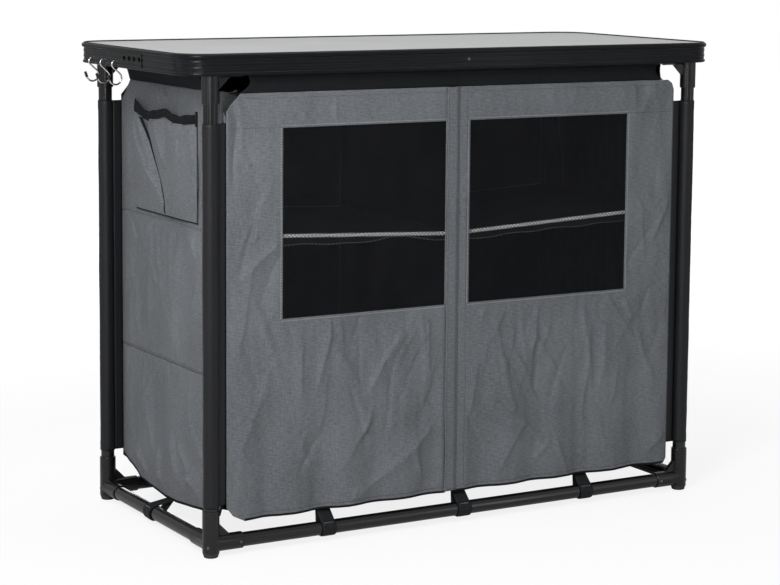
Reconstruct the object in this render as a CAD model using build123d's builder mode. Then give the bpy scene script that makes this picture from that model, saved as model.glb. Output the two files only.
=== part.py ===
"""Camping cupboard: a plug-together tube frame that carries a framed worktop and a cloth cabinet.

Millimetres. +Z is up, the front faces -Y, and the origin lies on the floor midway between the legs.
"""
import os
from math import asin, degrees

from build123d import *

os.makedirs("parts", exist_ok=True)

# Frame of tubes
worktop_height = 800.0
leg_span_x = 926.0
leg_span_y = 418.0
tube_d = 23.0
tube_wall = 1.2

# Moulded corners
socket_d = 27.5
side_socket_d = 27.0
hub_reach = 14.0
socket_reach = 54.0
tube_stop = 16.0
fit_gap = 0.2
cut_over = 1.0
gusset_leg = 18.0
gusset_sink = 1.0
gusset_t = 8.0
mouth_chamfer = 0.8

# Foot caps
foot_height = 8.0
foot_tread_d = 23.4
foot_edge_r = 2.0
spigot_d = 16.0
spigot_length = 9.0

# Corner rivets
rivet_head_d = 5.0
rivet_head_t = 1.0
rivet_shank_d = 2.8
rivet_shank_length = 1.6
rivet_drop = 4.0
rivet_from_leg = 47.0

# Worktop
overhang_x = 53.0
skirt_gap = 0.6
rest_gap = 0.3
board_t = 7.5
board_recess = 1.0
board_gap = 0.2
ledge_t = 1.5
ledge_width = 12.0
rail_height = 34.0
rail_wall = 1.2
top_bead_height = 8.0
top_bead_out = 3.7
low_bead_height = 5.0
low_bead_out = 1.9
rib_height = 4.0
rib_out = 0.8
rib_drops = (12.5, 22.0)
rail_corner_r = 50.0

# Holes in the left end of the rail
strap_hole_d = 8.0
strap_hole_pitch = 20.0
strap_hole_count = 4
strap_holes_y = -18.0
strap_holes_drop = 17.0
rail_joint_y = -60.0
rail_joint_width = 5.0
hook_pitch = 49.0
hook_count = 3
hooks_y = 98.0
hook_hole_d = 4.6
hook_bar_height = 8.4

# Hooks
wire_d = 3.0
curl_r = 6.2
bowl_r = 10.5
bowl_drop = 22.5
curl_inner_angle = -15.0
bowl_end_angle = -160.0
tip_d = 4.6
tip_length = 10.0
tip_cap = 3.0
tip_bore_gap = 0.1

# Clips that keep the worktop on the long tubes
clip_length = 28.0
clip_wall = 3.0
clip_gap = 0.3
clip_skirt = 4.0
clip_screw_drop = 17.25
clip_screw_length = 2.2

# Cloth
cloth_t = 1.0
wall_t = 1.4
seam_gap = 0.3
wall_in_from_leg = 28.8
door_in_from_leg = 2.0
hem_drop_from_top = 63.0
cabinet_low_z = 52.0
floor_z = 54.0
floor_t = 5.0
sleeve_low_z = 88.0
sleeve_drop_from_hem = 38.0
front_left_sleeve_slip = 8.0
band_flare = 14.0
side_band_flare = 26.0
band_end_gap = 12.0
fold_depth = 30.0
seam_ratio = 0.006
wall_ratio = 0.045
door_ratio = 0.08
window_ratio = 0.004
side_folds = (38, 52, 44, 61, 40, 55, 47, 36, 38)
rear_folds = (52, 66, 45, 71, 58, 49, 63, 54, 68, 47, 60, 56, 50)
door_folds = (47, 58, 36, 52, 41, 60, 38, 44)

# Cut corners of the cabinet walls
front_cut_top = (24.0, 28.0)
front_cut_low = (30.0, 24.0)
side_cut_top = (38.0, 37.0)
side_cut_low = (80.0, 28.0)
side_front_rise = 8.0
side_sag = 12.0
side_sag_reach = 120.0

# Doors
zip_x = -20.0
tape_width = 7.0
tape_t = 0.8
bead_w = 2.2
bead_t = 1.8
bead_gap = 1.6
tape_end_gap = 6.0
slider_z = 76.0
slider_height = 10.0
slider_width = 10.0
slider_plate_t = 0.9
slider_gap = 0.6
slider_post = 1.0
pull_width = 5.0
pull_length = 20.0
pull_t = 0.8
flap_free_x = -31.5
flap_seam_x = -10.6
flap_root_x = -6.0
flap_stand = 3.1
flap_t = 0.8
flap_end_gap = 3.0
strip_width = 28.0

# Windows
window_drop = 57.0
window_height = 307.0
window_from_wall = 99.2
left_window_inner_x = -32.0
right_window_inner_x = 15.0
window_border = 24.0
mesh_t = 0.8
mesh_gap = 0.2

# Shelves
upper_shelf_drop = 226.0
lower_shelf_share = 223 / 457
shelf_sag = 20.0
shelf_t = 6.0
shelf_gap = 0.6
shelf_in_from_door = 12.0
edging_t = 1.5
divider_x = -8.0
divider_t = 1.4
floor_in_from_door = 8.0

# Side pocket
pocket_rear_y = 140.0
pocket_front_y = -106.0
pocket_lift = 8.0
pocket_height = 172.0
pocket_stand_low = 2.0
pocket_stand_high = 13.0
pleat_share = 0.3
pocket_seat_gap = 0.5
pocket_t = 1.2
pocket_hem_height = 12.0
pocket_hem_t = 2.4
pocket_pleats = (70.0, 66.0, 110.0)

# Straps round the low tubes
strap_width = 25.0
strap_t = 1.2
strap_end_in = 15.0
front_strap_shares = (-255 / 463, 5 / 463, 255 / 463)
side_strap_y = 14.0

# Levels and faces that follow from the sizes above
leg_x = leg_span_x / 2
leg_y = leg_span_y / 2
socket_r = socket_d / 2
side_socket_r = side_socket_d / 2
tube_r = tube_d / 2
low_tube_z = foot_height + hub_reach
cabinet_half_x = leg_x - wall_in_from_leg
cabinet_half_y = leg_y - door_in_from_leg
hem_z = worktop_height - hem_drop_from_top
sleeve_high_z = hem_z - sleeve_drop_from_hem
window_high_z = hem_z - window_drop
window_low_z = window_high_z - window_height
left_window_x = (window_from_wall - cabinet_half_x, left_window_inner_x)
right_window_x = (right_window_inner_x, cabinet_half_x - window_from_wall)
upper_shelf_z = hem_z - upper_shelf_drop
lower_shelf_z = floor_z + lower_shelf_share * (upper_shelf_z - floor_z)
shelf_front_y = shelf_in_from_door - cabinet_half_y
floor_front_y = floor_in_from_door - cabinet_half_y
pocket_low_z = upper_shelf_z + pocket_lift
pocket_high_z = pocket_low_z + pocket_height
strap_holes_z = worktop_height - strap_holes_drop
clip_screw_z = worktop_height - clip_screw_drop
ledge_low_z = worktop_height - board_recess - board_t - ledge_t
top_tube_z = ledge_low_z - rest_gap - hub_reach
rail_low_z = worktop_height - rail_height
web_in_y = leg_y + socket_r + skirt_gap
web_in_x = leg_x + overhang_x - top_bead_out - rail_wall
web_out_x = web_in_x + rail_wall
web_out_y = web_in_y + rail_wall
cloth_ring_r = tube_r + fit_gap + cloth_t
wing_y = cabinet_half_y - wall_t / 2 - seam_gap - cloth_t / 2
wall_end_y = wing_y - cloth_t / 2 - fit_gap / 2
wall_in_x = cabinet_half_x - wall_t / 2

X_AXIS = Vector(1, 0, 0)
Y_AXIS = Vector(0, 1, 0)
Z_AXIS = Vector(0, 0, 1)


def save(piece, label):
    """Label a finished piece and write it."""
    piece.part.label = label
    export_step(piece.part, f"parts/{label}.step")


def side_name(x, y):
    """Name the corner of the frame that a point lies in."""
    return f"{'front' if y < 0 else 'rear'}_{'left' if x < 0 else 'right'}"


corners = [(sx * leg_x, sy * leg_y) for sy in (-1, 1) for sx in (-1, 1)]


# Corner mouldings, legs and foot caps
def rivet_seats(x, y, up):
    """Where the rivets of a corner sit: in its long socket, and in the foot of a low corner."""
    y_way = Y_AXIS * (y / abs(y))
    z = low_tube_z if up > 0 else top_tube_z
    along = Vector(-x / abs(x) * rivet_from_leg, 0, 0)
    seats = [(Vector(x, y, z) + along + y_way * (up * side_socket_r), y_way * up)]
    if up > 0:
        outward = Vector(x / abs(x), y / abs(y), 0).normalized()
        seats.append((Vector(x, y, z - rivet_drop) + outward * socket_r, outward))
    return seats


def make_corner(label, x, y, z, up):
    """A three-way corner with sockets for the leg and for the long and the short tube."""
    long_way = Vector(-1 if x > 0 else 1, 0, 0)
    short_way = Vector(0, -1 if y > 0 else 1, 0)
    leg_way = Z_AXIS * up
    hub = Vector(x, y, z)
    barrel = socket_reach - mouth_chamfer
    with BuildPart() as corner:
        with BuildSketch(Plane(origin=hub - leg_way * hub_reach, z_dir=leg_way)):
            Circle(socket_r)
        extrude(amount=hub_reach + barrel)
        for way in (long_way, short_way):
            with BuildSketch(Plane(origin=hub, z_dir=way)):
                Circle(side_socket_r)
            extrude(amount=barrel)
        for way, mouth_r in ((long_way, side_socket_r), (short_way, side_socket_r), (leg_way, socket_r)):
            with BuildSketch(Plane(origin=hub + way * barrel, z_dir=way)):
                Circle(mouth_r)
            extrude(amount=mouth_chamfer, taper=45)
        web_end = socket_r + gusset_leg
        web_edge = socket_r - gusset_sink
        with BuildSketch(Plane(origin=hub, x_dir=long_way, z_dir=long_way.cross(leg_way))):
            Polygon((0, 0), (web_end, 0), (web_end, web_edge), (web_edge, web_end), (0, web_end), align=None)
        extrude(amount=gusset_t / 2, both=True)
        for way in (long_way, short_way, leg_way):
            with BuildSketch(Plane(origin=hub + way * tube_stop, z_dir=way)):
                Circle(tube_r + fit_gap)
            extrude(amount=socket_reach, mode=Mode.SUBTRACT)
        for seat, way in rivet_seats(x, y, up):
            with BuildSketch(Plane(origin=seat + way * cut_over, z_dir=-way)):
                Circle((rivet_shank_d + fit_gap) / 2)
            extrude(amount=cut_over + rivet_shank_length + fit_gap, mode=Mode.SUBTRACT)
        if up > 0:
            with BuildSketch(Plane(origin=hub - leg_way * hub_reach, z_dir=leg_way)):
                Circle(spigot_d / 2 + fit_gap)
            extrude(amount=spigot_length + fit_gap, mode=Mode.SUBTRACT)
    save(corner, label)


def make_tube(label, start, end):
    """A round tube between two corner hubs, stopping short of the floor of each socket."""
    way = (end - start).normalized()
    length = (end - start).length - 2 * (tube_stop + fit_gap)
    with BuildPart() as tube:
        with BuildSketch(Plane(origin=start + way * (tube_stop + fit_gap), z_dir=way)):
            Circle(tube_r)
            Circle(tube_r - tube_wall, mode=Mode.SUBTRACT)
        extrude(amount=length)
    save(tube, label)


for x, y in corners:
    place = side_name(x, y)
    make_corner(f"bottom_corner_{place}", x, y, low_tube_z, up=1)
    make_corner(f"top_corner_{place}", x, y, top_tube_z, up=-1)
    make_tube(f"leg_{place}", Vector(x, y, low_tube_z), Vector(x, y, top_tube_z))

for level, z in (("bottom", low_tube_z), ("top", top_tube_z)):
    for y, side in ((-leg_y, "front"), (leg_y, "rear")):
        make_tube(f"{level}_tube_{side}", Vector(-leg_x, y, z), Vector(leg_x, y, z))
    for x, side in ((-leg_x, "left"), (leg_x, "right")):
        make_tube(f"{level}_tube_{side}", Vector(x, -leg_y, z), Vector(x, leg_y, z))

with BuildPart() as foot_caps:
    for x, y in corners:
        with BuildSketch(Plane(origin=(x, y, 0), x_dir=X_AXIS, z_dir=-Y_AXIS)):
            with BuildLine():
                tread = Line((0, 0), (foot_tread_d / 2 - foot_edge_r, 0))
                RadiusArc(tread @ 1, (foot_tread_d / 2, foot_edge_r), -foot_edge_r)
                Polyline(
                    (foot_tread_d / 2, foot_edge_r),
                    (socket_r, foot_height),
                    (spigot_d / 2, foot_height),
                    (spigot_d / 2, foot_height + spigot_length),
                    (0, foot_height + spigot_length),
                    (0, 0),
                )
            make_face()
        revolve(axis=Axis((x, y, 0), Z_AXIS))
save(foot_caps, "foot_caps")


def make_rivet(seat, way, shank_length=rivet_shank_length):
    """A domed rivet whose head sits on a surface at seat, facing way."""
    with BuildPart() as rivet:
        with BuildSketch(Plane(origin=seat, z_dir=way)):
            Circle(rivet_head_d / 2)
        extrude(amount=rivet_head_t, taper=30)
        with BuildSketch(Plane(origin=seat, z_dir=-way)):
            Circle(rivet_shank_d / 2)
        extrude(amount=shank_length)
    return rivet.part


all_rivets = [
    make_rivet(seat, way) for x, y in corners for up in (1, -1) for seat, way in rivet_seats(x, y, up)
]
with BuildPart() as corner_rivets:
    add(all_rivets)
save(corner_rivets, "corner_rivets")


# Worktop: board in a bent rail
def rail_section(plane):
    """The rail's section: skirt with two beads and two ribs, and the ledge under the board."""
    low = rail_low_z
    high = worktop_height
    ledge_high_z = ledge_low_z + ledge_t
    with BuildSketch(plane) as section:
        with BuildLine():
            low_bead_z = low + low_bead_height / 2
            bead = ThreePointArc((0, low), (low_bead_out, low_bead_z), (0, low + low_bead_height))
            last = bead @ 1
            for drop in sorted(rib_drops, reverse=True):
                middle = high - drop
                Line(last, (0, middle - rib_height / 2))
                rib = ThreePointArc(
                    (0, middle - rib_height / 2), (rib_out, middle), (0, middle + rib_height / 2)
                )
                last = rib @ 1
            Line(last, (0, high - top_bead_height))
            ThreePointArc((0, high - top_bead_height), (top_bead_out, high - top_bead_height / 2), (0, high))
            Polyline(
                (0, high),
                (-rail_wall, high),
                (-rail_wall, ledge_high_z),
                (-rail_wall - ledge_width, ledge_high_z),
                (-rail_wall - ledge_width, ledge_low_z),
                (-rail_wall, ledge_low_z),
                (-rail_wall, low),
                (0, low),
            )
        make_face()
    return section.sketch


joint_low_z = rail_low_z + low_bead_height
joint_high_z = worktop_height - top_bead_height
bend_r = rail_corner_r + rail_wall
straight_x = web_out_x - bend_r
straight_y = web_out_y - bend_r
rail_sides = []
for out, half_length, centre_out, face_out in (
    (-Y_AXIS, straight_x, straight_y, web_out_y),
    (X_AXIS, straight_y, straight_x, web_out_x),
    (Y_AXIS, straight_x, straight_y, web_out_y),
    (-X_AXIS, straight_y, straight_x, web_out_x),
):
    along = Z_AXIS.cross(out)
    end = along * half_length
    section = rail_section(Plane(origin=out * face_out + end, x_dir=out, z_dir=-along))
    rail_sides.append((section, half_length, Axis(out * centre_out + end, Z_AXIS)))

with BuildPart() as edge_rail:
    for section, half_length, bend_axis in rail_sides:
        extrude(section, amount=2 * half_length)
        revolve(section, axis=bend_axis, revolution_arc=90)
    left_end = Plane(origin=(-web_in_x + cut_over, 0, 0), x_dir=-Y_AXIS, z_dir=-X_AXIS)
    with BuildSketch(left_end):
        with Locations((-strap_holes_y, strap_holes_z)):
            with GridLocations(strap_hole_pitch, 1, strap_hole_count, 1):
                Circle(strap_hole_d / 2)
        with Locations((-hooks_y, rail_low_z + hook_bar_height / 2 + curl_r)):
            with GridLocations(hook_pitch, 1, hook_count, 1):
                Circle(hook_hole_d / 2)
        with Locations((-rail_joint_y, (joint_low_z + joint_high_z) / 2)):
            Rectangle(rail_joint_width, joint_high_z - joint_low_z)
    extrude(amount=rail_wall + 2 * cut_over, mode=Mode.SUBTRACT)
    for y in (-1, 1):
        with BuildSketch(Plane(origin=(0, y * (web_in_y - cut_over), clip_screw_z), z_dir=Y_AXIS * y)):
            Circle((rivet_shank_d + fit_gap) / 2)
        extrude(amount=rail_wall + 2 * cut_over, mode=Mode.SUBTRACT)
save(edge_rail, "edge_rail")

with BuildPart() as worktop_board:
    with BuildSketch(Plane.XY.offset(ledge_low_z + ledge_t)):
        RectangleRounded(2 * (web_in_x - board_gap), 2 * (web_in_y - board_gap), rail_corner_r - board_gap)
    extrude(amount=board_t)
save(worktop_board, "worktop_board")

arch_r = cloth_ring_r + clip_gap
clip_out = web_in_y - leg_y
clip_in = -arch_r - clip_wall
crown_z = ledge_low_z - top_tube_z
with BuildPart() as rail_clips:
    for y in (-1, 1):
        seat = Vector(-clip_length / 2, y * leg_y, top_tube_z)
        with BuildSketch(Plane(origin=seat, x_dir=Y_AXIS * y, z_dir=X_AXIS * y)):
            with BuildLine():
                Polyline(
                    (arch_r, 0),
                    (arch_r, -clip_skirt),
                    (clip_out, -clip_skirt),
                    (clip_out, crown_z),
                    (clip_in, crown_z),
                    (clip_in, -clip_skirt),
                    (-arch_r, -clip_skirt),
                    (-arch_r, 0),
                )
                ThreePointArc((-arch_r, 0), (0, arch_r), (arch_r, 0))
            make_face()
        extrude(amount=y * clip_length)
        with BuildSketch(Plane(origin=(0, y * (web_in_y + cut_over), clip_screw_z), z_dir=-Y_AXIS * y)):
            Circle((rivet_shank_d + fit_gap) / 2)
        extrude(amount=cut_over + clip_screw_length - rail_wall + fit_gap, mode=Mode.SUBTRACT)
save(rail_clips, "rail_clips")

screws = [
    make_rivet(Vector(0, y * web_out_y, clip_screw_z), Y_AXIS * y, clip_screw_length) for y in (-1, 1)
]
with BuildPart() as rail_screws:
    add(screws)
save(rail_screws, "rail_screws")


# Hooks: each turns about the bar left under its hole
hook_x = -(web_in_x + web_out_x) / 2
hook_pivot_z = rail_low_z + hook_bar_height / 2
lean = degrees(asin((curl_r + bowl_r) / bowl_drop))


def make_hook(number, y):
    """An S of round wire whose curl passes the rail's hole and whose bowl hangs below the skirt."""
    plane = Plane(origin=(hook_x, y, hook_pivot_z), x_dir=X_AXIS, z_dir=-Y_AXIS)
    with BuildLine(plane) as wire:
        curl = CenterArc((0, 0), curl_r, curl_inner_angle, 180 + lean - curl_inner_angle)
        bowl = CenterArc((0, -bowl_drop), bowl_r, lean, bowl_end_angle - lean)
        Line(curl @ 1, bowl @ 0)
        Line(bowl @ 1, bowl @ 1 + bowl % 1 * (tip_length - tip_cap))
    path = wire.wires()[0]
    way_out = path % 1
    with BuildPart() as hook:
        with BuildSketch(Plane(origin=path @ 0, z_dir=path % 0)):
            Circle(wire_d / 2)
        sweep(path=path)
    save(hook, f"hook_{number}")
    with BuildPart() as tip:
        with BuildSketch(Plane(origin=path @ 1 - way_out * (tip_length - tip_cap), z_dir=way_out)):
            Circle(tip_d / 2)
        extrude(amount=tip_length)
        end_edge = tip.edges().filter_by(GeomType.CIRCLE).sort_by(lambda e: e.center().dot(way_out))[-1]
        fillet(end_edge, tip_d / 3)
        with BuildSketch(Plane(origin=path @ 1, z_dir=-way_out)):
            Circle(wire_d / 2 + tip_bore_gap)
        extrude(amount=tip_length, mode=Mode.SUBTRACT)
    save(tip, f"hook_tip_{number}")


for number in range(hook_count):
    make_hook(number + 1, hooks_y + ((hook_count - 1) / 2 - number) * hook_pitch)


# Cloth: sleeves and bands that wrap the tubes, walls, doors and pocket
for x, y in corners:
    place = side_name(x, y)
    slip = front_left_sleeve_slip if place == "front_left" else 0
    wing_start = leg_x - cloth_ring_r + cloth_t / 2
    wing_length = wing_start - wall_in_x
    wing_x = -(leg_x - wing_start + wing_length / 2) * x / leg_x
    with BuildPart() as leg_sleeve:
        with BuildSketch(Plane(origin=(x, y, sleeve_low_z - slip), z_dir=Z_AXIS)):
            Circle(cloth_ring_r)
            with Locations((wing_x, (wing_y - leg_y) * y / leg_y)):
                Rectangle(wing_length, cloth_t)
            Circle(tube_r + fit_gap, mode=Mode.SUBTRACT)
        extrude(amount=sleeve_high_z - sleeve_low_z)
    save(leg_sleeve, f"leg_sleeve_{place}")


def make_loop(tube_point, out, ring_half, target, half_width, thickness):
    """A cloth loop round a tube with a flat tail that ends at a target, seen along the tube."""
    ring_r = tube_r + fit_gap + thickness
    along = out.cross(Z_AXIS)
    reach = Vector(target[0], target[1])
    start = reach.normalized() * (ring_r - thickness / 2)
    tail_way = (out * reach.X + Z_AXIS * reach.Y).normalized()
    tail_length = reach.length - start.length
    tail_start = tube_point + out * start.X + Z_AXIS * start.Y
    with BuildPart() as loop:
        with BuildSketch(Plane(origin=tube_point, x_dir=out, z_dir=along)):
            Circle(ring_r)
            Circle(ring_r - thickness, mode=Mode.SUBTRACT)
        extrude(amount=ring_half, both=True)
        with BuildSketch(Plane(origin=tail_start, x_dir=along, z_dir=along.cross(tail_way))):
            Polygon(
                (-ring_half, 0),
                (ring_half, 0),
                (half_width, tail_length),
                (-half_width, tail_length),
                align=None,
            )
        extrude(amount=thickness / 2, both=True)
    return loop


long_ring = leg_x - socket_reach - band_end_gap
short_ring = leg_y - socket_reach - band_end_gap
hem_drop = hem_z - top_tube_z
for out, tube_out, cloth_out, ring_half, flare, side in (
    (-Y_AXIS, leg_y, cabinet_half_y, long_ring, band_flare, "front"),
    (Y_AXIS, leg_y, cabinet_half_y, long_ring, band_flare, "rear"),
    (-X_AXIS, leg_x, cabinet_half_x, short_ring, side_band_flare, "left"),
    (X_AXIS, leg_x, cabinet_half_x, short_ring, side_band_flare, "right"),
):
    band = make_loop(
        out * tube_out + Z_AXIS * top_tube_z,
        out,
        ring_half,
        (cloth_out - tube_out, hem_drop),
        ring_half + flare,
        cloth_t,
    )
    save(band, f"top_band_{side}")


def cloth_section(plane, start, end, flat, shares, ratio):
    """The section of a hanging cloth: a flat strip, then folds that bulge in turn to each side."""
    run = 1 if end > start else -1
    marks = [start + run * flat]
    for share in shares:
        marks.append(marks[-1] + share * (end - start - run * flat) / sum(shares))
    with BuildSketch(plane) as section:
        with BuildLine():
            for face in (-wall_t / 2, wall_t / 2):
                if flat:
                    Line((start, face), (marks[0], face))
                for number, (near, far) in enumerate(zip(marks, marks[1:])):
                    bulge = abs(far - near) * ratio * (-1) ** number
                    ThreePointArc((near, face), ((near + far) / 2, face + bulge), (far, face))
            for x in (start, end):
                Line((x, -wall_t / 2), (x, wall_t / 2))
        make_face()
    return section.sketch


def make_cloth(centre, run, span, flat, shares, levels, outline, window=None):
    """A hanging cloth: folds lofted from level to level, trimmed to its outline and its window."""
    sections = [
        cloth_section(Plane(origin=centre + Z_AXIS * z, x_dir=run, z_dir=Z_AXIS), *span, flat, shares, ratio)
        for z, ratio in levels
    ]
    trim_plane = Plane(origin=centre, x_dir=run, z_dir=run.cross(Z_AXIS))
    with BuildPart() as cloth:
        loft(sections, ruled=True)
        with BuildSketch(trim_plane):
            Polygon(*outline, align=None)
        extrude(amount=fold_depth, both=True, mode=Mode.INTERSECT)
        if window:
            with BuildSketch(trim_plane):
                with Locations(((window[0] + window[1]) / 2, (window_low_z + window_high_z) / 2)):
                    Rectangle(window[1] - window[0], window_high_z - window_low_z)
            extrude(amount=fold_depth, both=True, mode=Mode.SUBTRACT)
    return cloth


side_low_z = cabinet_low_z - side_sag
seamed_levels = (
    (side_low_z, seam_ratio * 2),
    (floor_z, seam_ratio),
    ((floor_z + lower_shelf_z) / 2, wall_ratio),
    (lower_shelf_z, seam_ratio),
    ((lower_shelf_z + upper_shelf_z) / 2, wall_ratio),
    (upper_shelf_z, seam_ratio),
    (pocket_high_z + pocket_hem_height, seam_ratio),
    (hem_z, seam_ratio),
)
wall_top_z = hem_z - fit_gap - seam_gap
side_outline = (
    (wall_end_y, cabinet_low_z + side_cut_low[1]),
    (wall_end_y, wall_top_z - side_cut_top[1]),
    (wall_end_y - side_cut_top[0], wall_top_z),
    (-wall_end_y + side_cut_top[0], wall_top_z),
    (-wall_end_y, wall_top_z - side_cut_top[1]),
    (-wall_end_y, cabinet_low_z + side_front_rise),
    (side_strap_y - side_sag_reach, cabinet_low_z),
    (side_strap_y - strap_width, side_low_z),
    (side_strap_y + strap_width, side_low_z),
    (wall_end_y - side_cut_low[0], cabinet_low_z),
)
for way, side in ((-X_AXIS, "left"), (X_AXIS, "right")):
    wall = make_cloth(
        way * cabinet_half_x, Y_AXIS, (-wall_end_y, wall_end_y), 0, side_folds, seamed_levels, side_outline
    )
    save(wall, f"{side}_wall")


def front_outline(inner, outer):
    """The outline of a front or rear cloth from its inner edge to its cut outer corners."""
    way = 1 if outer > inner else -1
    return (
        (inner, cabinet_low_z),
        (outer - way * front_cut_low[0], cabinet_low_z),
        (outer, cabinet_low_z + front_cut_low[1]),
        (outer, wall_top_z - front_cut_top[1]),
        (outer - way * front_cut_top[0], wall_top_z),
        (inner, wall_top_z),
    )


door_outer_x = cabinet_half_x + seam_gap
rear_half = front_outline(0, door_outer_x)
rear_outline = rear_half[1:5] + tuple((-x, z) for x, z in reversed(rear_half[1:5]))
rear_wall = make_cloth(
    Y_AXIS * cabinet_half_y, X_AXIS, (-door_outer_x, door_outer_x), 0, rear_folds, seamed_levels, rear_outline
)
save(rear_wall, "rear_wall")

door_levels = (
    (cabinet_low_z, door_ratio),
    (window_low_z - window_border, window_ratio * 4),
    (window_low_z - window_border / 8, window_ratio),
    (window_high_z + window_border / 8, window_ratio),
    (hem_z, seam_ratio * 2),
)
for side, window, flat in (("left", left_window_x, tape_width), ("right", right_window_x, strip_width)):
    way = -1 if side == "left" else 1
    inner = zip_x + way * tape_width
    outer = way * door_outer_x
    door = make_cloth(
        -Y_AXIS * cabinet_half_y,
        X_AXIS,
        (inner, outer),
        flat,
        door_folds,
        door_levels,
        front_outline(inner, outer),
        window,
    )
    save(door, f"{side}_door_cloth")
    with BuildPart() as mesh:
        with BuildSketch(Plane(origin=(0, -cabinet_half_y, 0), x_dir=X_AXIS, z_dir=-Y_AXIS)):
            with Locations(((window[0] + window[1]) / 2, (window_low_z + window_high_z) / 2)):
                Rectangle(window[1] - window[0] - 2 * mesh_gap, window_high_z - window_low_z - 2 * mesh_gap)
        extrude(amount=mesh_t / 2, both=True)
    save(mesh, f"{side}_window_mesh")
    chain_low_z = cabinet_low_z + tape_end_gap
    if side == "left":
        chain_low_z = slider_z + slider_height / 2 + slider_gap
    chain_foot = Plane(origin=(zip_x, -cabinet_half_y, chain_low_z), x_dir=X_AXIS * way, z_dir=Z_AXIS)
    with BuildPart() as zip_half:
        with BuildSketch(chain_foot):
            with Locations(((bead_gap / 2 + bead_w + tape_width) / 2, 0)):
                Rectangle(tape_width - bead_gap / 2 - bead_w, tape_t)
            with Locations((bead_gap / 2 + bead_w / 2, 0)):
                Rectangle(bead_w, bead_t)
        extrude(amount=hem_z - tape_end_gap - chain_low_z)
    save(zip_half, f"zip_{side}_half")

plate_in = bead_t / 2 + slider_gap
plate_out = plate_in + slider_plate_t
front_plate = Plane(origin=(zip_x, -cabinet_half_y - plate_out, slider_z), x_dir=X_AXIS, z_dir=-Y_AXIS)
with BuildPart() as zip_slider:
    with BuildSketch(Plane(origin=(zip_x, -cabinet_half_y, slider_z), z_dir=Z_AXIS)):
        for way in (-1, 1):
            with Locations((0, way * (plate_in + plate_out) / 2)):
                Rectangle(slider_width, slider_plate_t)
        Rectangle(slider_post, 2 * plate_in)
    extrude(amount=slider_height / 2, both=True)
    with BuildSketch(front_plate):
        with Locations((0, slider_height / 4)):
            Rectangle(pull_width, pull_length, align=(Align.CENTER, Align.MAX))
    extrude(amount=pull_t)
save(zip_slider, "zip_slider")

cloth_face_y = -cabinet_half_y - wall_t / 2
flap_in_y = cloth_face_y - flap_stand
with BuildPart() as zip_flap:
    with BuildSketch(Plane.XY.offset(cabinet_low_z + flap_end_gap)):
        Polygon(
            (flap_free_x, flap_in_y),
            (flap_free_x, flap_in_y - flap_t),
            (flap_seam_x + flap_t, flap_in_y - flap_t),
            (flap_seam_x + flap_t, cloth_face_y - flap_t),
            (flap_root_x, cloth_face_y - flap_t),
            (flap_root_x, cloth_face_y),
            (flap_seam_x, cloth_face_y),
            (flap_seam_x, flap_in_y),
            align=None,
        )
    extrude(amount=wall_top_z - cabinet_low_z - 2 * flap_end_gap)
save(zip_flap, "zip_flap")


# Roof, floor, shelves and dividers
def make_panel(label, low_z, thickness, front_y, rear_y):
    """A flat level between the side walls."""
    half = wall_in_x - shelf_gap
    with BuildPart() as panel:
        with BuildSketch(Plane.XY.offset(low_z)):
            with Locations((0, (front_y + rear_y) / 2)):
                Rectangle(2 * half, rear_y - front_y)
        extrude(amount=thickness)
    save(panel, label)


level_rear_y = wall_end_y - shelf_gap
roof_z = wall_top_z - cloth_t - fit_gap
make_panel("roof_cloth", roof_z, cloth_t, -level_rear_y, level_rear_y)
make_panel("floor_panel", floor_z, floor_t, floor_front_y, level_rear_y)


def shelf_outline(end_z):
    """The section of a shelf of two boards that hang lowest where they meet."""
    half = wall_in_x - shelf_gap
    top = ((-half, end_z), (divider_x, end_z - shelf_sag), (half, end_z))
    return top + tuple((x, z - shelf_t) for x, z in reversed(top))


for shelf_z, level in ((upper_shelf_z, "upper"), (lower_shelf_z, "lower")):
    with BuildPart() as shelf:
        with BuildSketch(Plane(origin=(0, level_rear_y, 0), x_dir=X_AXIS, z_dir=-Y_AXIS)):
            Polygon(*shelf_outline(shelf_z), align=None)
        extrude(amount=level_rear_y - shelf_front_y)
    save(shelf, f"{level}_shelf")

with BuildPart() as shelf_edgings:
    with BuildSketch(Plane(origin=(0, shelf_front_y, 0), x_dir=X_AXIS, z_dir=-Y_AXIS)):
        Polygon(*shelf_outline(upper_shelf_z), align=None)
        Polygon(*shelf_outline(lower_shelf_z), align=None)
    extrude(amount=edging_t)
save(shelf_edgings, "shelf_edgings")

divider_levels = (
    (floor_z + floor_t, lower_shelf_z - shelf_sag - shelf_t),
    (lower_shelf_z - shelf_sag, upper_shelf_z - shelf_sag - shelf_t),
    (upper_shelf_z - shelf_sag, roof_z),
)
divider_depth = level_rear_y - shelf_front_y
with BuildPart() as centre_dividers:
    for low_z, high_z in divider_levels:
        with BuildSketch(Plane.XY.offset(low_z + seam_gap)):
            with Locations((divider_x, level_rear_y - divider_depth / 2)):
                Rectangle(divider_t, divider_depth)
        extrude(amount=high_z - low_z - 2 * seam_gap)
save(centre_dividers, "centre_dividers")


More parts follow.
